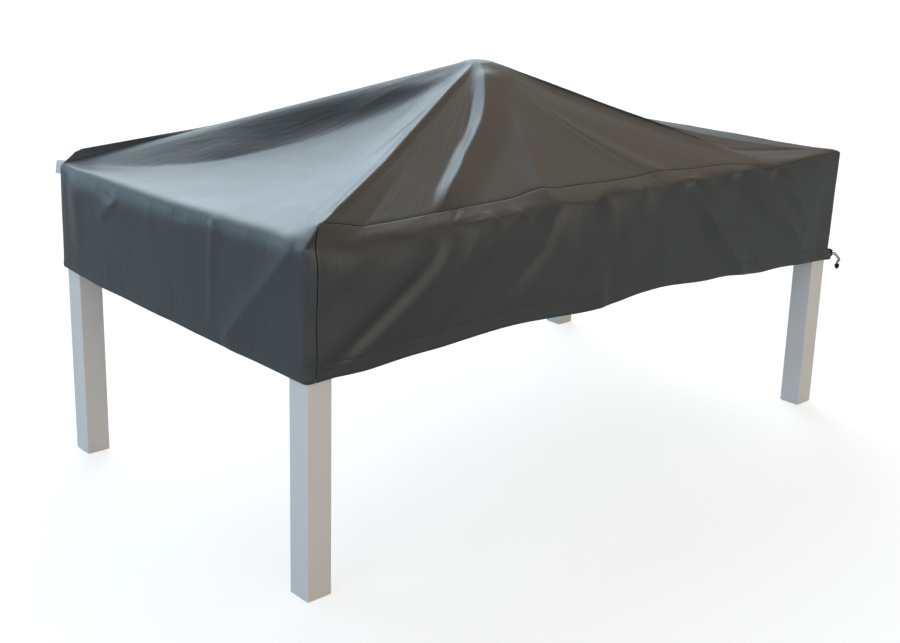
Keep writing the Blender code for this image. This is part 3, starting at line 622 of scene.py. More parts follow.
def lattice_noise(u, v, seed):
    """Smooth seeded noise from -1 to 1, with one wave or so for each unit of u and v."""
    table = np.random.default_rng(seed).uniform(-1, 1, (LATTICE, LATTICE))
    column, row = np.floor(u).astype(int), np.floor(v).astype(int)
    x, y = u - column, v - row
    x, y = x * x * (3 - 2 * x), y * y * (3 - 2 * y)
    corners = [table[(column + i) % LATTICE, (row + j) % LATTICE]
               for i in (0, 1) for j in (0, 1)]
    near = corners[0] + (corners[1] - corners[0]) * y
    far = corners[2] + (corners[3] - corners[2]) * y
    return near + (far - near) * x


def ripple_height(station, level):
    """The cloth's own fine ripples, which run with the hang."""
    down = level * level_length(station, level)
    height = 0
    for number, ripple in enumerate(RIPPLES):
        waver = WAVER * lattice_noise(station / WAVER_SIZE, down / WAVER_SIZE,
                                      RIPPLE_SEED + 10 + number)
        height = height + ripple["height"] * lattice_noise(
            station / ripple["along"] + waver, down / ripple["down"], RIPPLE_SEED + number)
    return height * fan_at(station, level)


def sheet_points(station, level):
    """Points and outward normals of the folded sheet."""
    station = np.asarray(station, dtype=float)
    level = np.asarray(level, dtype=float)
    step_s, step_l = 0.002, 0.006
    along = rolled_surface(station + step_s, level) - rolled_surface(station - step_s, level)
    down = rolled_surface(station, level + step_l) - rolled_surface(station, level - step_l)
    normal = np.cross(down, along)
    normal /= np.linalg.norm(normal, axis=-1, keepdims=True) + 1e-12
    relief = fold_height(station, level) + ripple_height(station, level)
    return rolled_surface(station, level) + normal * relief[..., None], normal


# ---- seams --------------------------------------------------------------------------------
def level_length(station, level):
    """Metres of cloth for each unit of level."""
    edge, _ = edge_point(station)
    run = np.linalg.norm(edge, axis=-1) - CAP_RADIUS
    tent = np.hypot(run, RIM_Z - EDGE_Z)
    skirt = EDGE_Z - from_table(HEM_HEIGHTS, station)
    return np.where(level < 0, tent, skirt)


def seam_distance(station, level):
    """Distance from the nearest seam, in metres, from either side of it."""
    length = level_length(station, level)
    past_seam = (level - from_table(SEAM_LEVELS, station)) * length
    best = np.full(np.shape(station), 1.0)
    for first, last in SIDE_SPANS:
        half = (last - first) / 2
        station_in = half - np.abs(apart(station, (first + last) / 2))
        inside = np.minimum(station_in, past_seam)
        outside = np.hypot(np.maximum(-station_in, 0), np.maximum(-past_seam, 0))
        best = np.minimum(best, np.where(inside > 0, inside, outside))
    return best


def turned_in(distance):
    """How deep a panel's edge has turned in at a distance from its seam."""
    x = np.clip(1 - np.maximum(distance - SEAM_HALF_GAP, 0) / SEAM_TURN, 0, 1)
    return SEAM_TURN * (1 - np.sqrt(1 - x * x))


def hem_relief(station, level):
    """The folded hem with the drawcord in its edge, its row of stitches and their puckers."""
    above = (1 - level) * (EDGE_Z - from_table(HEM_HEIGHTS, station))
    doubled = HEM_STEP * np.clip((HEM_DEPTH - above) / HEM_STEP_EASE, 0, 1)
    cord = HEM_CORD_BULGE * np.exp(-((above - HEM_CORD_AT) / HEM_CORD_WIDTH) ** 2)
    trough = HEM_TROUGH * np.exp(-((above - HEM_DEPTH) / HEM_TROUGH_WIDTH) ** 2)
    fade = np.exp(-np.abs(above - HEM_DEPTH) / HEM_PUCKER_REACH)
    pucker = HEM_PUCKER * lattice_noise(station / HEM_PUCKER_PITCH, above / HEM_PUCKER_DROP,
                                        RIPPLE_SEED + 20)
    lip = np.clip(1 - above / HEM_LIP, 0, 1)
    relief = doubled + cord - trough + pucker * fade
    relief = relief - HEM_LIP * (1 - np.sqrt(1 - lip * lip))
    return np.where(above < HEM_RELIEF_TOP, relief, 0)


def seam_relief(station, level):
    """Edges turned in at the seams, and the puckers along them."""
    away = seam_distance(station, level)
    pucker = SEAM_PUCKER * lattice_noise(station / SEAM_PUCKER_PITCH + 9,
                                         level * SEAM_PUCKERS_DOWN, RIPPLE_SEED + 21)
    return pucker * np.exp(-away / SEAM_PUCKER_REACH) - turned_in(away)


def cloth_points(station, level):
    """Points of the finished cloth's outer face."""
    rise = np.clip(level / SEAM_LEAN["level"], 0, 1)
    beside = np.exp(-(apart(station, SEAM_LEAN["station"]) / SEAM_LEAN["reach"]) ** 2)
    points, normal = sheet_points(station + SEAM_LEAN["shift"] * rise * beside, level)
    relief = seam_relief(station, level) + hem_relief(station, level)
    return points + normal * relief[..., None]


# ---- panels -------------------------------------------------------------------------------
def seam_rows():
    """Distances from a seam of the close rows or columns in its turned edge."""
    return [SEAM_HALF_GAP + part * SEAM_TURN for part in SEAM_ROWS]


def stations_between(first, last, pitch):
    """Stations from first to last, close together by the two seams and round the corners."""
    count = max(2, round((last - first) / pitch))
    stations = list(np.linspace(first, last, count + 1)[1:-1])
    for corner in (0.0, EDGE_LENGTH, EDGE_LENGTH + EDGE_WIDTH, LOOP - EDGE_WIDTH, LOOP):
        turns = np.linspace(-CORNER_REACH, CORNER_REACH, CORNER_COLUMNS)
        stations += [corner + turn * CORNER_RADIUS for turn in turns]
    margin = SEAM_TURN * SEAM_CLEAR
    stations = sorted(s for s in stations if first + margin < s < last - margin)
    tight = seam_rows()
    kept = [first + t for t in tight]
    for station in stations:
        if station - kept[-1] > NEAREST_COLUMNS:
            kept.append(station)
    return np.array(kept + [last - t for t in reversed(tight)])


def eased_stations(stations):
    """The same columns spaced evenly where seams and corners crowd them."""
    count = SPREAD_COLUMNS
    wide = np.concatenate([stations[-count:] - LOOP, stations, stations[:count] + LOOP])
    share = np.hanning(count + 3)[1:-1]
    even = np.convolve(wide, share / share.sum(), mode="same")
    return even[count:-count]


def grid_quads(rows, columns, first=0, closed=False):
    """Quads over a grid of points stored row by row, wound to face outwards."""
    r = np.arange(rows - 1)[:, None]
    c = np.arange(columns if closed else columns - 1)[None, :]
    d = (c + 1) % columns
    a = first + r * columns
    b = a + columns
    return np.stack([a + c, b + c, b + d, a + d], axis=-1).reshape(-1, 4)


def cloth_object(name, points, uv, cut, quads, fans=()):
    """A panel from its outer face, thickened inwards, with its cloth coordinates as UV."""
    mesh = bpy.data.meshes.new(name)
    faces = [tuple(q) for q in quads.tolist()] + [tuple(f) for f in fans]
    mesh.from_pydata(points.tolist(), [], faces)
    corners = np.empty(len(mesh.loops), dtype=np.int32)
    mesh.loops.foreach_get("vertex_index", corners)
    for layer_name, places in (("cloth", uv), ("cut", cut)):
        layer = mesh.uv_layers.new(name=layer_name)
        layer.data.foreach_set("uv", places[corners].astype(np.float32).ravel())
    mesh.validate()
    mesh.shade_smooth()
    obj = placed(name, mesh)
    wall = obj.modifiers.new("cloth thickness", "SOLIDIFY")
    wall.thickness = CLOTH
    wall.offset = -1.0
    return obj


def cloth_uv(station, level):
    """Cloth coordinates in metres: along the hem, and down from the top edge."""
    return np.stack([station + 0 * level, -level * level_length(station, level)], axis=-1)


def main_cut(points, level):
    """Place in the main panel as it was cut, in metres, with its end skirts laid flat."""
    drop = np.clip(EDGE_Z - points[:, 2], 0, None) * (level > 0)
    along = points[:, 0] + drop * np.sign(points[:, 0])
    return np.stack([along, points[:, 1]], axis=-1)


def hanging_levels(start, stations, count):
    """Levels of the rows from a start down to the hem, closer at the top edge and the hem."""
    drop = EDGE_Z - from_table(HEM_HEIGHTS, stations)
    hem = [1 - above / drop for above in HEM_ROWS]
    parts = np.linspace(0, 1, count + 1)[1:] ** SKIRT_ROW_EASE
    return [start + (hem[0] - start) * part for part in parts] + hem[1:]


def side_panel(name, span, pitch, row_count):
    """A long side panel, from the long seam over the table's edge to the hem."""
    stations = stations_between(span[0], span[1], pitch)
    seam = from_table(SEAM_LEVELS, stations)
    per_metre = 1 / level_length(stations, -1.0)
    levels = [seam + t * per_metre for t in seam_rows()]
    levels += hanging_levels(levels[-1], stations, row_count)
    levels = np.array(levels)
    grid = np.broadcast_to(stations, levels.shape)
    points = cloth_points(grid, levels).reshape(-1, 3)
    uv = cloth_uv(grid, levels).reshape(-1, 2)
    return cloth_object(name, points, uv, uv, grid_quads(*levels.shape))


def peak_cap(stations):
    """Points and cloth coordinates of the round cap: its middle, then its rings outwards."""
    edge, _ = edge_point(stations)
    bearing = edge / np.linalg.norm(edge, axis=-1, keepdims=True)
    rim_uv = cloth_uv(stations, np.full(len(stations), -1.0))
    points = [np.array([[0.0, 0.0, RIM_Z + CAP_CROWN]])]
    uv = [np.array([[0.0, 1.0]])]
    for ring in CAP_RINGS:
        crown = RIM_Z + CAP_CROWN * (1 - ring * ring)
        flat = bearing * CAP_RADIUS * ring
        points.append(np.column_stack([flat, np.full(len(stations), crown)]))
        uv.append(rim_uv + [0, CAP_RADIUS * (1 - ring)])
    return points, uv


def main_panel(name):
    """The top with the two end skirts, in one piece, with the peak's round cap."""
    spans = ((SEAM_NEAR, SEAM_RIGHT, FRONT_PITCH), (SEAM_RIGHT, SEAM_FAR, RIGHT_PITCH),
             (SEAM_FAR, SEAM_LEFT, BACK_PITCH), (SEAM_LEFT, SEAM_NEAR + LOOP, LEFT_PITCH))
    marks, stations = [], []
    for first, last, pitch in spans:
        marks.append(len(stations))
        stations += list(stations_between(first, last, pitch))
    stations = np.array(stations)
    columns = len(stations)

    # rows from the rim of the cap down to the seams' level
    seam = from_table(SEAM_LEVELS, stations)
    tight = seam_rows()[::-1]
    metre = level_length(stations, -1.0)
    per_metre = 1 / metre
    near = seam - tight[0] * per_metre
    tent = np.linspace(0, 1, TENT_ROWS) ** TENT_ROW_EASE
    levels = [-1 + (near + 1) * part for part in tent]
    levels += [seam - t * per_metre for t in tight[1:]]
    levels = np.array(levels)
    spread = np.clip((near - levels) * metre / SPREAD_REACH, 0, 1)
    spread = spread * spread * (3 - 2 * spread)
    grid = stations + (eased_stations(stations) - stations) * spread

    points, uv = peak_cap(stations)
    points.append(cloth_points(grid, levels).reshape(-1, 3))
    uv.append(cloth_uv(grid, levels).reshape(-1, 2))
    row_total = len(CAP_RINGS) + len(levels)
    quads = [grid_quads(row_total, columns, first=1, closed=True)]
    fans = [(0, 1 + c, 1 + (c + 1) % columns) for c in range(columns)]

    # the two end skirts hang from the last row
    last_ring = 1 + (row_total - 1) * columns
    total = 1 + row_total * columns
    ends = ((marks[1], marks[2], RIGHT_END_ROWS), (marks[3], columns, LEFT_END_ROWS))
    for start, end, rows in ends:
        span = np.arange(start, end)
        below = np.array(hanging_levels(levels[-1][span], stations[span], rows))
        wide = np.broadcast_to(stations[span], below.shape)
        points.append(cloth_points(wide, below).reshape(-1, 3))
        uv.append(cloth_uv(wide, below).reshape(-1, 2))
        index = np.vstack([last_ring + span,
                           total + np.arange(below.size).reshape(below.shape)])
        quads.append(np.stack([index[:-1, :-1], index[1:, :-1], index[1:, 1:], index[:-1, 1:]],
                              axis=-1).reshape(-1, 4))
        total += below.size
    points = np.concatenate(points)
    hangs = np.arange(len(points)) >= last_ring + columns
    return cloth_object(name, points, np.concatenate(uv), main_cut(points, hangs),
                        np.concatenate(quads), fans)


# ---- hem stitches -------------------------------------------------------------------------
def hem_line(first, last):
    """Points along the row of stitches between the seams at two stations."""
    stations = np.arange(first + STITCH_END_GAP, last - STITCH_END_GAP, STITCH_PITCH / 2)
    level = 1 - HEM_DEPTH / (EDGE_Z - from_table(HEM_HEIGHTS, stations))
    points, normal = sheet_points(stations, level)
    rise = hem_relief(stations, level)[..., None] + STITCH_THICK * STITCH_RISE
    return points + normal * rise


def stitch_tree(thread):
    """Stitches set end to end along a line, each a flattened bead of thread."""
    tree = bpy.data.node_groups.new("row_of_stitches", "GeometryNodeTree")
    face = tree.interface
    face.new_socket("Geometry", in_out="INPUT", socket_type="NodeSocketGeometry")
    for label, value in (("Pitch", STITCH_PITCH), ("Length", STITCH_LENGTH),
                         ("Thickness", STITCH_THICK)):
        socket = face.new_socket(label, in_out="INPUT", socket_type="NodeSocketFloat")
        socket.default_value = value
    face.new_socket("Geometry", in_out="OUTPUT", socket_type="NodeSocketGeometry")
    nodes, links = tree.nodes, tree.links
    given = nodes.new("NodeGroupInput")
    made = nodes.new("NodeGroupOutput")
    line = nodes.new("GeometryNodeMeshToCurve")
    places = nodes.new("GeometryNodeResampleCurve")
    places.mode = "LENGTH"
    heading = nodes.new("GeometryNodeInputTangent")
    aim = nodes.new("FunctionNodeAlignRotationToVector")
    aim.axis = "X"
    bead = nodes.new("GeometryNodeMeshUVSphere")
    bead.inputs["Segments"].default_value = 6
    bead.inputs["Rings"].default_value = 5
    bead.inputs["Radius"].default_value = 0.5
    shape = nodes.new("GeometryNodeTransform")
    size = nodes.new("ShaderNodeCombineXYZ")
    set_out = nodes.new("GeometryNodeInstanceOnPoints")
    real = nodes.new("GeometryNodeRealizeInstances")
    smooth = nodes.new("GeometryNodeSetShadeSmooth")
    finish = nodes.new("GeometryNodeSetMaterial")
    finish.inputs["Material"].default_value = thread
    joins = (
        (given, "Geometry", line, "Mesh"),
        (line, "Curve", places, "Curve"),
        (given, "Pitch", places, "Length"),
        (heading, "Tangent", aim, "Vector"),
        (given, "Length", size, "X"),
        (given, "Thickness", size, "Y"),
        (given, "Thickness", size, "Z"),
        (bead, "Mesh", shape, "Geometry"),
        (size, "Vector", shape, "Scale"),
        (places, "Curve", set_out, "Points"),
        (shape, "Geometry", set_out, "Instance"),
        (aim, "Rotation", set_out, "Rotation"),
        (set_out, "Instances", real, "Geometry"),
        (real, "Geometry", smooth, "Geometry"),
        (smooth, "Geometry", finish, "Geometry"),
        (finish, "Geometry", made, "Geometry"),
    )
    for source, given_out, target, taken_in in joins:
        links.new(source.outputs[given_out], target.inputs[taken_in])
    return tree


def stitch_row(name, lines, tree):
    """A plain mesh of the stitches along some lines of the hem."""
    mesh = bpy.data.meshes.new(name)
    points, edges = [], []
    for line in lines:
        edges += [(len(points) + i, len(points) + i + 1) for i in range(len(line) - 1)]
        points += [tuple(p) for p in line]
    mesh.from_pydata(points, edges, [])
    row = placed(name, mesh)
    sewing = row.modifiers.new("row of stitches", "NODES")
    sewing.node_group = tree
    for socket in tree.interface.items_tree:
        if socket.in_out == "INPUT" and socket.socket_type == "NodeSocketFloat":
            sewing[socket.identifier] = socket.default_value
    shown = row.evaluated_get(bpy.context.evaluated_depsgraph_get())
    stitches = bpy.data.meshes.new_from_object(shown)
    row.modifiers.clear()
    row.data = stitches
    return row


# ---- drawcord, lock, bell and label -------------------------------------------------------
def closed_mesh(name, points, faces, material, ring_uv=None):
    """A smooth closed piece with its faces outwards, and its braid's coordinates if given."""
    mesh = bpy.data.meshes.new(name)
    mesh.from_pydata([tuple(p) for p in points], [], [tuple(f) for f in faces])
    if ring_uv is not None:
        layer = mesh.uv_layers.new(name="braid")
        layer.data.foreach_set("uv", np.array(ring_uv, dtype=np.float32).ravel())
    bm = bmesh.new()
    bm.from_mesh(mesh)
    bmesh.ops.remove_doubles(bm, verts=bm.verts, dist=DOUBLES)
    bmesh.ops.recalc_face_normals(bm, faces=bm.faces)
    bm.to_mesh(mesh)
    bm.free()
    mesh.shade_smooth()
    mesh.materials.append(material)
    return placed(name, mesh)


def ring_faces(rows, sides):
    """Quads between rings of points that are stored one after another."""
    faces = []
    for row in range(rows - 1):
        for i in range(sides):
            j = (i + 1) % sides
            faces.append((row * sides + i, row * sides + j,
                          (row + 1) * sides + j, (row + 1) * sides + i))
    return faces


def turned(profile, place, sides, ribs=0, rib_rows=(), depth=0.0):
    """Points and faces of a profile of (radius, height) turned about an upright axis."""
    angle = np.linspace(0, 2 * math.pi, sides, endpoint=False)
    points = []
    for row, (radius, height) in enumerate(profile):
        rib = depth * (0.5 + 0.5 * np.cos(ribs * angle)) if row in rib_rows else 0 * angle
        for a, r in zip(angle, rib):
            points.append((place[0] + (radius - r) * math.cos(a),
                           place[1] + (radius - r) * math.sin(a), place[2] + height))
    return points, ring_faces(len(profile), sides)


def joined(shapes):
    """Points and faces of several shapes as one list each."""
    points, faces = [], []
    for some_points, some_faces in shapes:
        faces += [tuple(len(points) + i for i in face) for face in some_faces]
        points += list(some_points)
    return points, faces


def eyelet(place, axis):
    """A small rounded ring that a strand comes out of."""
    axis = Vector(axis).normalized()
    side = axis.cross(Vector((0, 0, 1))).normalized()
    up = side.cross(axis)
    points, faces = [], []
    for i in range(EYELET_SIDES):
        a = 2 * math.pi * i / EYELET_SIDES
        spoke = side * math.cos(a) + up * math.sin(a)
        for k in range(EYELET_ROUND):
            b = 2 * math.pi * k / EYELET_ROUND
            reach = EYELET_RADIUS + EYELET_WIRE * math.cos(b)
            points.append(Vector(place) + spoke * reach + axis * EYELET_WIRE * math.sin(b))
    for i in range(EYELET_SIDES):
        this, following = i * EYELET_ROUND, (i + 1) % EYELET_SIDES * EYELET_ROUND
        for k in range(EYELET_ROUND):
            m = (k + 1) % EYELET_ROUND
            faces.append((this + k, following + k, following + m, this + m))
    return points, faces


def cord_lock_piece(place, strand_starts, away, plastic):
    """Barrel lock: a ribbed body, the plunger in its top, and an eyelet for each strand."""
    r, half = LOCK_RADIUS, LOCK_HEIGHT / 2
    p = PLUNGER_RADIUS
    well = p + PLUNGER_GAP
    body = ((0.0, half - 0.0040), (well, half - 0.0040), (well, half - 0.0030),
            (r * 0.86, half - 0.0030),
            (r * 0.97, half - 0.0034), (r, half - 0.0045), (r, half - 0.0062),
            (r, half - 0.0064), (r, -half + 0.0042), (r, -half + 0.0040), (r, -half + 0.0015),
            (r * 0.94, -half + 0.0004), (r * 0.82, -half), (0.0, -half))
    plunger = ((0.0, half), (p * 0.55, half), (p * 0.62, half - 0.0003),
               (p * 0.80, half - 0.0003), (p * 0.95, half - 0.0008), (p, half - 0.0018),
               (p, half - 0.0050), (0.0, half - 0.0050))
    shapes = [turned(body, place, LOCK_SIDES, LOCK_RIBS, LOCK_RIB_ROWS, LOCK_RIB_DEPTH),
              turned(plunger, place, PLUNGER_SIDES)]
    for start in strand_starts:
        shapes.append(eyelet(Vector(start) - Vector(away) * (STRAND_GAP + 0.0001), away))
    return closed_mesh("cord_lock_body", *joined(shapes), plastic)


def cord_bell_piece(place, plastic):
    """Bell that holds the two ends of the drawcord, hollow below, with a collar on top."""
    r, h = BELL_RADIUS, BELL_HEIGHT
    profile = ((0.0, 0.0), (r * 0.72, 0.0), (r * 0.80, -0.0003), (r * 0.84, -0.0012),
               (r * 0.95, -0.0018), (r, -0.0028), (r, -0.0040), (r * 0.97, -h * 0.34),
               (r * 0.90, -h * 0.40), (r * 0.97, -h * 0.44), (r * 0.86, -h * 0.62),
               (r * 0.60, -h * 0.84), (r * 0.42, -h * 0.97), (r * 0.36, -h),
               (r * 0.26, -h * 0.98), (r * 0.22, -h * 0.80), (0.0, -h * 0.78))
    return closed_mesh("cord_bell_body", *turned(profile, place, BELL_SIDES), plastic)


def smooth_route(points, steps):
    """A smooth line through all of some points."""
    places = [np.array(p) for p in points]
    padded = [2 * places[0] - places[1]] + places + [2 * places[-1] - places[-2]]
    route = []
    for i in range(1, len(padded) - 2):
        p0, p1, p2, p3 = padded[i - 1:i + 3]
        for k in range(steps):
            t = k / steps
            route.append(0.5 * (2 * p1 + (p2 - p0) * t + (2 * p0 - 5 * p1 + 4 * p2 - p3) * t * t
                                + (3 * p1 - p0 - 3 * p2 + p3) * t ** 3))
    route.append(places[-1])
    return [tuple(p) for p in route]


def strand_route(lock, bell, side):
    """The route of one strand, from the lock's side down to the bell's top."""
    out = np.array((math.cos(STRAND_LEAVES), math.sin(STRAND_LEAVES), 0.0))
    up = np.array((0.0, 0.0, 1.0))
    spread = STRAND_SPREAD * side
    start = np.array(lock) + out * (LOCK_RADIUS + STRAND_GAP) - up * STRAND_DROP
    end = np.array(bell) + up * STRAND_GAP
    points = (start + up * spread, start + out * 0.0045 + up * spread,
              start + out * (0.0100 + 0.6 * spread) + up * (0.8 * spread - 0.0040),
              end + out * (0.0045 + spread) + up * 0.0125,
              end + out * (0.0006 + spread) + up * 0.0060, end + out * spread)
    return smooth_route(points, STRAND_STEPS)


def strand_piece(name, route, braid):
    """A round cord along a route, with the way round and along it as its UV."""
    line = np.array(route)
    heading = np.gradient(line, axis=0)
    heading /= np.linalg.norm(heading, axis=1, keepdims=True)
    travelled = np.concatenate([[0], np.cumsum(np.linalg.norm(np.diff(line, axis=0), axis=1))])
    side = np.cross(heading[0], (0.0, 0.0, 1.0))
    points = []
    for place, ahead in zip(line, heading):
        side = side - ahead * np.dot(side, ahead)
        side /= np.linalg.norm(side)
        across = np.cross(ahead, side)
        for k in range(CORD_SIDES):
            a = 2 * math.pi * k / CORD_SIDES
            points.append(place + (side * math.cos(a) + across * math.sin(a))
                          * CORD_DIAMETER / 2)
    rings = len(line)
    faces = ring_faces(rings, CORD_SIDES)
    ring_uv = []
    for here, there in zip(travelled, travelled[1:]):
        for k in range(CORD_SIDES):
            u, v = k / CORD_SIDES, (k + 1) / CORD_SIDES
            ring_uv += [(u, here), (v, here), (v, there), (u, there)]
    for ring in (0, rings - 1):
        middle = len(points)
        points.append(line[ring])
        for k in range(CORD_SIDES):
            faces.append((ring * CORD_SIDES + k, ring * CORD_SIDES + (k + 1) % CORD_SIDES,
                          middle))
            ring_uv += [(k / CORD_SIDES, travelled[ring])] * 3
    return closed_mesh(name, points, faces, braid, ring_uv)


def label_piece(material):
    """Blank label: a strip folded in two, with its cut ends sewn into the corner's seam."""
    low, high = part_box("corner_label")
    middle = Vector(((low.x + high.x) / 2, low.y, (low.z + high.z) / 2 + LABEL_LIFT))
    leaf = [(part * LABEL_WIDTH, LABEL_HALF_GAP)
            for part in np.linspace(-LABEL_SEWN_IN, LABEL_FOLD_AT, 12)]
    fold = []
    for a in np.linspace(math.pi / 2, -math.pi / 2, 7)[1:-1]:
        fold.append((LABEL_WIDTH * LABEL_FOLD_AT + LABEL_HALF_GAP * math.cos(a) * LABEL_FOLD_NOSE,
                     LABEL_HALF_GAP * math.sin(a)))
    line = leaf + fold + [(y, -x) for y, x in reversed(leaf)]
    rows = np.linspace(-0.5, 0.5, 13)
    steps = [math.dist(a, b) for a, b in zip(line, line[1:])]
    travelled = np.concatenate([[0], np.cumsum(steps)])
    points, places = [], []
    for part in rows:
        for (y, x), along in zip(line, travelled):
            outward = y / LABEL_WIDTH
            curl = LABEL_CURL * math.sin(2.4 * part + 0.6) * outward ** 2
            flare = LABEL_FLARE * (0.5 - part) * outward
            lean = (LABEL_TO_CORNER + LABEL_TWIST * (0.5 - part)) * outward
            points.append((middle.x + x - curl - lean,
                           middle.y + LABEL_OUT * outward + y + flare,
                           middle.z + part * LABEL_HEIGHT - LABEL_SAG * outward))
            places.append((along, part * LABEL_HEIGHT))
    quads = grid_quads(len(rows), len(line))
    mesh = bpy.data.meshes.new("blank_label")
    mesh.from_pydata(points, [], [tuple(q) for q in quads.tolist()])
    layer = mesh.uv_layers.new(name="cut")
    corners = [loop.vertex_index for loop in mesh.loops]
    layer.data.foreach_set("uv", np.array(places, dtype=np.float32)[corners].ravel())
    mesh.shade_smooth()
    mesh.materials.append(material)
    obj = placed("blank_label", mesh)
    wall = obj.modifiers.new("label thickness", "SOLIDIFY")
    wall.thickness = LABEL_CLOTH
    wall.offset = 0.0
    return obj


# ---- materials ----------------------------------------------------------------------------
def shader_group(name, inputs, outputs):
    """An empty shader group with its sockets, and its two end nodes."""
    group = bpy.data.node_groups.new(name, "ShaderNodeTree")
    for label, kind, value in inputs:
        socket = group.interface.new_socket(label, in_out="INPUT", socket_type=kind)
        if value is not None:
            socket.default_value = value
    for label, kind in outputs:
        group.interface.new_socket(label, in_out="OUTPUT", socket_type=kind)
    return group, group.nodes.new("NodeGroupInput"), group.nodes.new("NodeGroupOutput")


def maths(group, operation, first, second=None):
    """A Math node, with sockets or numbers as its inputs."""
    node = group.nodes.new("ShaderNodeMath")
    node.operation = operation
    for index, value in enumerate((first, second)):
        if value is None:
            continue
        if isinstance(value, (int, float)):
            node.inputs[index].default_value = value
        else:
            group.links.new(value, node.inputs[index])
    return node.outputs["Value"]


def plain_weave_group():
    """Yarns that go over and under each other, as a height from -1 to 1."""
    group, given, made = shader_group(
        "plain_weave",
        (("Vector", "NodeSocketVector", None), ("Yarn Width", "NodeSocketFloat", 0.0007)),
        (("Height", "NodeSocketFloat"),))
    split = group.nodes.new("ShaderNodeSeparateXYZ")
    group.links.new(given.outputs["Vector"], split.inputs["Vector"])
    waves = []
    for axis in ("X", "Y"):
        turn = maths(group, "DIVIDE", split.outputs[axis], given.outputs["Yarn Width"])
        waves.append(maths(group, "SINE", maths(group, "MULTIPLY", turn, math.pi)))
    group.links.new(maths(group, "MULTIPLY", waves[0], waves[1]), made.inputs["Height"])
    return group


def mottle_group():
    """Slow changes of tone and gloss over a surface, with a fine grain in the gloss."""
    group, given, made = shader_group(
        "soft_mottle",
        (("Vector", "NodeSocketVector", None), ("Patches per Metre", "NodeSocketFloat", 12.0),
         ("Grains per Metre", "NodeSocketFloat", 900.0),
         ("Dark", "NodeSocketColor", None), ("Light", "NodeSocketColor", None),
         ("Gloss From", "NodeSocketFloat", 0.4), ("Gloss To", "NodeSocketFloat", 0.5)),
        (("Colour", "NodeSocketColor"), ("Roughness", "NodeSocketFloat"),
         ("Grain", "NodeSocketFloat")))
    nodes, links = group.nodes, group.links
    patches = nodes.new("ShaderNodeTexNoise")
    patches.inputs["Detail"].default_value = 3.0
    grain = nodes.new("ShaderNodeTexNoise")
    grain.inputs["Detail"].default_value = 1.0
    for node, label in ((patches, "Patches per Metre"), (grain, "Grains per Metre")):
        links.new(given.outputs["Vector"], node.inputs["Vector"])
        links.new(given.outputs[label], node.inputs["Scale"])
    tone = nodes.new("ShaderNodeMix")
    tone.data_type = "RGBA"
    links.new(patches.outputs["Fac"], tone.inputs["Factor"])
    links.new(given.outputs["Dark"], tone.inputs[6])
    links.new(given.outputs["Light"], tone.inputs[7])
    mixed = maths(group, "MULTIPLY", patches.outputs["Fac"], 0.7)
    mixed = maths(group, "ADD", mixed, maths(group, "MULTIPLY", grain.outputs["Fac"], 0.3))
    gloss = nodes.new("ShaderNodeMapRange")
    gloss.inputs["From Min"].default_value = 0.25
    gloss.inputs["From Max"].default_value = 0.75
    links.new(mixed, gloss.inputs["Value"])
    links.new(given.outputs["Gloss From"], gloss.inputs["To Min"])
    links.new(given.outputs["Gloss To"], gloss.inputs["To Max"])
    links.new(tone.outputs[2], made.inputs["Colour"])
    links.new(gloss.outputs["Result"], made.inputs["Roughness"])
    links.new(grain.outputs["Fac"], made.inputs["Grain"])
    return group


def hairline_group():
    """Thin creases that run one way more than the other, as a height from 0 to 1."""
    group, given, made = shader_group(
        "hairline_creases",
        (("Vector", "NodeSocketVector", None), ("Per Metre Across", "NodeSocketFloat", 30.0),
         ("Per Metre Along", "NodeSocketFloat", 3.0)),
        (("Height", "NodeSocketFloat"),))
    nodes, links = group.nodes, group.links
    split = nodes.new("ShaderNodeSeparateXYZ")
    stretched = nodes.new("ShaderNodeCombineXYZ")
    links.new(given.outputs["Vector"], split.inputs["Vector"])
    links.new(maths(group, "MULTIPLY", split.outputs["X"], given.outputs["Per Metre Across"]),
              stretched.inputs["X"])
    links.new(maths(group, "MULTIPLY", split.outputs["Y"], given.outputs["Per Metre Along"]),
              stretched.inputs["Y"])
    bent = nodes.new("ShaderNodeTexNoise")
    bent.inputs["Scale"].default_value = 1.0
    bent.inputs["Detail"].default_value = 2.0
    bent.inputs["Roughness"].default_value = 0.45
    bent.inputs["Distortion"].default_value = 0.35
    links.new(stretched.outputs["Vector"], bent.inputs["Vector"])
    away = maths(group, "ABSOLUTE", maths(group, "SUBTRACT", bent.outputs["Fac"], 0.5))
    line = nodes.new("ShaderNodeMapRange")
    line.interpolation_type = "SMOOTHSTEP"
    line.inputs["From Min"].default_value = 0.0
    line.inputs["From Max"].default_value = 0.10
    line.inputs["To Min"].default_value = 1.0
    line.inputs["To Max"].default_value = 0.0
    links.new(away, line.inputs["Value"])
    links.new(line.outputs["Result"], made.inputs["Height"])
    return group


def braid_group():
    """Strands of a round braid that cross each other, as a height from 0 to 1."""
    group, given, made = shader_group(
        "round_braid",
        (("Vector", "NodeSocketVector", None), ("Strands", "NodeSocketFloat", 8.0),
         ("Plaits per Metre", "NodeSocketFloat", 420.0)),
        (("Height", "NodeSocketFloat"),))
    split = group.nodes.new("ShaderNodeSeparateXYZ")
    group.links.new(given.outputs["Vector"], split.inputs["Vector"])
    turn = maths(group, "MULTIPLY", split.outputs["X"], given.outputs["Strands"])
    run = maths(group, "MULTIPLY", split.outputs["Y"], given.outputs["Plaits per Metre"])
    one = maths(group, "SINE", maths(group, "MULTIPLY", maths(group, "ADD", turn, run), math.pi))
    other = maths(group, "SINE",
                  maths(group, "MULTIPLY", maths(group, "SUBTRACT", turn, run), math.pi))
    both = maths(group, "MAXIMUM", maths(group, "ABSOLUTE", one), maths(group, "ABSOLUTE", other))
    group.links.new(both, made.inputs["Height"])
    return group


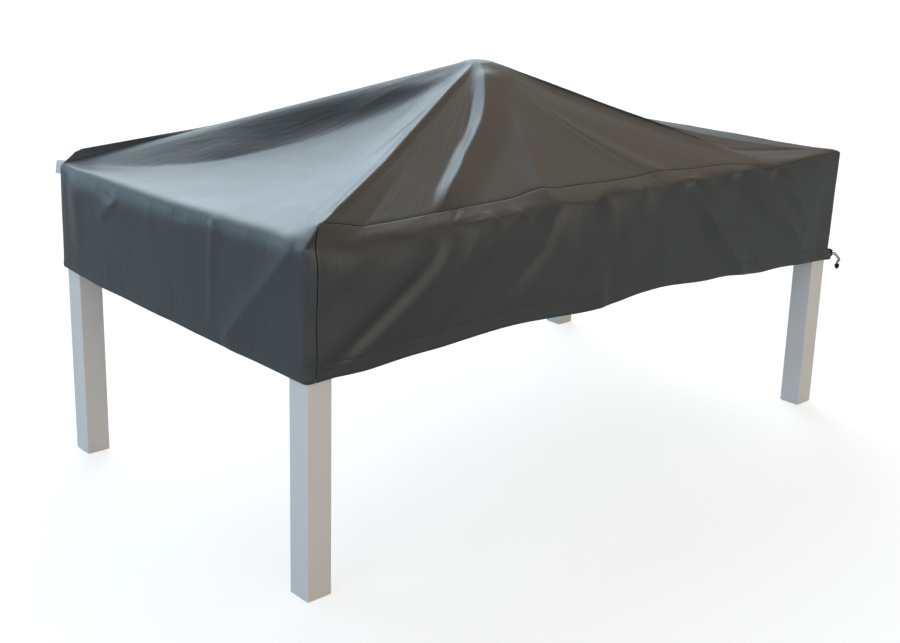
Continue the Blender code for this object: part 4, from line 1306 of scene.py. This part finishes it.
def place_group(material, group, values, vector):
    """A group's node in a material, with its own values and the coordinates it reads."""
    nodes, links = material.node_tree.nodes, material.node_tree.links
    node = nodes.new("ShaderNodeGroup")
    node.node_tree = group
    for label, value in values.items():
        node.inputs[label].default_value = value
    links.new(vector, node.inputs["Vector"])
    return node


def bump(material, height, distance, before=None):
    """A Bump node over a height, after another one where there is one."""
    nodes, links = material.node_tree.nodes, material.node_tree.links
    node = nodes.new("ShaderNodeBump")
    node.inputs["Distance"].default_value = distance
    links.new(height, node.inputs["Height"])
    if before is not None:
        links.new(before, node.inputs["Normal"])
    return node.outputs["Normal"]


def new_material(name, specular):
    """A material with its Principled shader, ready for its patterns."""
    material = bpy.data.materials.new(name)
    material.use_nodes = True
    shader = material.node_tree.nodes["Principled BSDF"]
    shader.inputs["Specular IOR Level"].default_value = specular
    return material, shader


def map_output(material, uv_name=None):
    """The piece's own coordinates: one of its UV maps, or Object coordinates in metres."""
    nodes = material.node_tree.nodes
    if uv_name is None:
        return nodes.new("ShaderNodeTexCoord").outputs["Object"]
    node = nodes.new("ShaderNodeUVMap")
    node.uv_map = uv_name
    return node.outputs["UV"]


def mottled(material, mottle, vector, finish):
    """The mottle's node in a material, with the values of one finish."""
    return place_group(material, mottle, {
        "Patches per Metre": finish["patches"], "Grains per Metre": finish["grains"],
        "Dark": (*finish["dark"], 1.0), "Light": (*finish["light"], 1.0),
        "Gloss From": finish["gloss"][0], "Gloss To": finish["gloss"][1]}, vector)


def dress(material, shader, tones, normal):
    """Joins a mottle's outputs and a normal to the shader."""
    links = material.node_tree.links
    links.new(tones.outputs["Colour"], shader.inputs["Base Color"])
    links.new(tones.outputs["Roughness"], shader.inputs["Roughness"])
    links.new(normal, shader.inputs["Normal"])


# Finishes: the specular level, patches and grains per metre, the two tones, the range of
# roughness, and the depth of the grain, plaits or yarns in metres.
COATED_CLOTH = {"specular": 0.65, "patches": 9.0, "grains": 700.0,
                "dark": (0.0300, 0.0335, 0.0352), "light": (0.0350, 0.0392, 0.0414),
                "gloss": (0.39, 0.45), "depth": 0.000025}
POWDER_COAT = {"specular": 0.5, "patches": 7.0, "grains": 420.0,
               "dark": (0.68, 0.66, 0.64), "light": (0.74, 0.72, 0.70),
               "gloss": (0.30, 0.42), "depth": 0.00006}
MOULDED_PLASTIC = {"specular": 0.3, "patches": 90.0, "grains": 2600.0,
                   "dark": (0.005, 0.005, 0.006), "light": (0.010, 0.010, 0.012),
                   "gloss": (0.44, 0.60), "depth": 0.00004}
SEWING_THREAD = {"specular": 0.5, "patches": 60.0, "grains": 2600.0,
                 "dark": (0.026, 0.028, 0.027), "light": (0.048, 0.050, 0.049),
                 "gloss": (0.50, 0.66), "depth": 0.00008}
BRAIDED_CORD = {"specular": 0.05, "patches": 220.0, "grains": 3000.0,
                "dark": (0.005, 0.005, 0.006), "light": (0.014, 0.014, 0.017),
                "gloss": (0.75, 0.90), "depth": 0.00005}
LABEL_WEAVE = {"specular": 0.3, "patches": 120.0, "grains": 2500.0,
               "dark": (0.60, 0.60, 0.66), "light": (0.76, 0.76, 0.81),
               "gloss": (0.70, 0.85), "depth": 0.00005}

# Hairline creases of the coating: how many per metre across and along the hang, and how deep.
FINE_CREASES = {"across": 34.0, "along": 6.0, "depth": 0.00014}
BROAD_CREASES = {"across": 8.0, "along": 7.0, "depth": 0.00012}
CLOTH_YARN, LABEL_YARN = 0.0009, 0.0004
BRAID_STRANDS, BRAID_PLAITS = 8.0, 420.0


def coated_cloth(weave, mottle, hairlines):
    """Coated polyester: a fine weave under the coating, soft mottle and hairline creases."""
    material, shader = new_material("coated_cloth", COATED_CLOTH["specular"])
    cut, hang = map_output(material, "cut"), map_output(material, "cloth")
    tones = mottled(material, mottle, cut, COATED_CLOTH)
    normal = None
    for creases in (BROAD_CREASES, FINE_CREASES):
        lines = place_group(material, hairlines, {
            "Per Metre Across": creases["across"], "Per Metre Along": creases["along"]}, hang)
        normal = bump(material, lines.outputs["Height"], creases["depth"], normal)
    yarns = place_group(material, weave, {"Yarn Width": CLOTH_YARN}, cut)
    normal = bump(material, yarns.outputs["Height"], COATED_CLOTH["depth"], normal)
    dress(material, shader, tones, normal)
    return material


def grained_finish(name, mottle, finish):
    """A hard or matt finish with a fine grain: the powder coat, the plastic, the thread."""
    material, shader = new_material(name, finish["specular"])
    tones = mottled(material, mottle, map_output(material), finish)
    dress(material, shader, tones, bump(material, tones.outputs["Grain"], finish["depth"]))
    return material


def braided_cord(braid, mottle):
    """Black round braided cord."""
    material, shader = new_material("braided_cord", BRAIDED_CORD["specular"])
    round_it = map_output(material, "braid")
    tones = mottled(material, mottle, map_output(material), BRAIDED_CORD)
    plaits = place_group(material, braid, {
        "Strands": BRAID_STRANDS, "Plaits per Metre": BRAID_PLAITS}, round_it)
    dress(material, shader, tones,
          bump(material, plaits.outputs["Height"], BRAIDED_CORD["depth"]))
    return material


def label_weave(weave, mottle):
    """White woven label, a little soiled."""
    material, shader = new_material("white_label_weave", LABEL_WEAVE["specular"])
    cut = map_output(material, "cut")
    tones = mottled(material, mottle, cut, LABEL_WEAVE)
    yarns = place_group(material, weave, {"Yarn Width": LABEL_YARN}, cut)
    dress(material, shader, tones, bump(material, yarns.outputs["Height"], LABEL_WEAVE["depth"]))
    return material


# ---- light and floor ----------------------------------------------------------------------
def add_floor(material):
    """Pale floor, wide enough to fill the picture."""
    mesh = bpy.data.meshes.new("pale_floor")
    bm = bmesh.new()
    bmesh.ops.create_grid(bm, x_segments=1, y_segments=1, size=FLOOR_REACH)
    bm.to_mesh(mesh)
    bm.free()
    mesh.materials.append(material)
    placed("pale_floor", mesh)


# Soft lights, each from one side of the room: where it comes from, clockwise from straight
# behind, its height above the horizon, its spread, and its strength in red, green and blue.
SOFT_LIGHTS = (
    {"name": "window_left", "from": -30, "height": 30, "spread": 70, "light": (0.40, 0.55, 0.74)},
    {"name": "window_right", "from": 33, "height": 23, "spread": 40, "light": (1.06, 1.27, 1.42)},
    {"name": "window_high", "from": 18, "height": 45, "spread": 40, "light": (0.52, 0.62, 0.68)},
    {"name": "window_sill", "from": -18, "height": 10, "spread": 50, "light": (0.46, 0.66, 0.74)},
    {"name": "left_fill", "from": -100, "height": 20, "spread": 50, "light": (0.88, 1.12, 1.38)},
    {"name": "ceiling_right", "from": 80, "height": 42, "spread": 60, "light": (0.52, 0.40, 0.28)},
    {"name": "front_fill", "from": 190, "height": 12, "spread": 60, "light": (1.36, 1.14, 0.94)},
    {"name": "front_right", "from": 142, "height": 22, "spread": 50, "light": (0.36, 0.34, 0.28)},
)
# The floor: its reach, its own white, and how much brighter the camera sees it. The room's own
# glow fills in the rest.
FLOOR_REACH = 30.0
FLOOR_LIFT = 0.66
FLOOR_WHITE = (0.52, 0.52, 0.52)
FLOOR_ROUGHNESS = 0.85
FLOOR_SPECULAR = 0.5
ROOM_GLOW = 0.045
ROOM_COLOUR = (1.0, 0.96, 0.90)


def add_lights():
    """The room's soft lights, which shine the same on the whole floor."""
    for row in SOFT_LIGHTS:
        data = bpy.data.lights.new(row["name"], "SUN")
        data.energy = max(row["light"])
        data.color = [part / data.energy for part in row["light"]]
        data.angle = math.radians(row["spread"])
        turn, height = math.radians(row["from"]), math.radians(row["height"])
        towards = Vector((math.sin(turn) * math.cos(height), math.cos(turn) * math.cos(height),
                          math.sin(height)))
        light = placed(row["name"], data)
        light.rotation_euler = towards.to_track_quat("Z", "Y").to_euler()
    world = bpy.data.worlds.new("room")
    world.use_nodes = True
    background = world.node_tree.nodes["Background"]
    background.inputs["Color"].default_value = (*ROOM_COLOUR, 1.0)
    background.inputs["Strength"].default_value = ROOM_GLOW
    bpy.context.scene.world = world


def pale_floor_material():
    """White floor that the camera sees a little brighter than it lights the cover."""
    material, shader = new_material("pale_floor", FLOOR_SPECULAR)
    shader.inputs["Base Color"].default_value = (*FLOOR_WHITE, 1.0)
    shader.inputs["Roughness"].default_value = FLOOR_ROUGHNESS
    nodes, links = material.node_tree.nodes, material.node_tree.links
    seen = nodes.new("ShaderNodeLightPath")
    lift = nodes.new("ShaderNodeMath")
    lift.operation = "MULTIPLY"
    lift.inputs[1].default_value = FLOOR_LIFT
    shader.inputs["Emission Color"].default_value = (1.0, 1.0, 1.0, 1.0)
    links.new(seen.outputs["Is Camera Ray"], lift.inputs[0])
    links.new(lift.outputs["Value"], shader.inputs["Emission Strength"])
    return material


# ---- build --------------------------------------------------------------------------------
bpy.context.scene.view_settings.view_transform = "Standard"
add_camera()

weave, mottle = plain_weave_group(), mottle_group()
cloth = coated_cloth(weave, mottle, hairline_group())
paint = grained_finish("white_powder_coat", mottle, POWDER_COAT)
plastic = grained_finish("moulded_plastic", mottle, MOULDED_PLASTIC)
sewing = stitch_tree(grained_finish("sewing_thread", mottle, SEWING_THREAD))

# the drawcord's two strands, its lock and its bell
lock_low, lock_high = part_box("cord_lock")
lock_at = (lock_low + lock_high) / 2
bell_at = lock_at + Vector(BELL_OFFSET)
leaves = (math.cos(STRAND_LEAVES), math.sin(STRAND_LEAVES), 0.0)
routes = {"drawcord_inner": strand_route(lock_at, bell_at, -1),
          "drawcord_outer": strand_route(lock_at, bell_at, 1)}
lock = cord_lock_piece(lock_at, [route[0] for route in routes.values()], leaves, plastic)
bell = cord_bell_piece(bell_at, plastic)
for piece, node in ((lock, "cord_lock"), (bell, "cord_bell")):
    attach(piece, "root")
    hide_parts(node)
braid = braided_cord(braid_group(), mottle)
for node, route in routes.items():
    strand = strand_piece(node + "_strand", route, braid)
    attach(strand, "root")
    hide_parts(node)

# the cover's three panels and their rows of stitches
main = main_panel("cover_top_and_ends")
front = side_panel("cover_front_side", SIDE_SPANS[0], FRONT_SIDE_PITCH, FRONT_SIDE_ROWS)
back = side_panel("cover_back_side", SIDE_SPANS[1], BACK_SIDE_PITCH, BACK_SIDE_ROWS)
hems = {
    main: ((SEAM_RIGHT, SEAM_FAR), (SEAM_LEFT, SEAM_NEAR + LOOP)),
    front: ((SEAM_NEAR, SEAM_RIGHT),),
    back: ((SEAM_FAR, SEAM_LEFT),),
}
panels = (
    (main, "cover_main_panel", "hem_stitches_ends", (2.48, 1.10), ["table_top", "peak_prop"]),
    (front, "cover_front_panel", "hem_stitches_front", (1.86, 0.36), ["table_top"]),
    (back, "cover_back_panel", "hem_stitches_back", (1.86, 0.36), ["table_top"]),
)
for piece, node, stitch_name, flat, carriers in panels:
    piece.data.materials.append(cloth)
    stitches = stitch_row(stitch_name, [hem_line(*span) for span in hems[piece]], sewing)
    for made in (piece, stitches):
        made.data.transform(Matrix.Translation((STAND_X, 0, 0)))
        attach(made, "root")
    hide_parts(node)

label = label_piece(label_weave(weave, mottle))
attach(label, "root")
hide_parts("corner_label")

for name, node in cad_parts.items():
    if name.startswith(("leg_", "rail_", "table_", "peak_")):
        for slot_index in range(len(node.material_slots)):
            node.material_slots[slot_index].material = paint

add_floor(pale_floor_material())
add_lights()
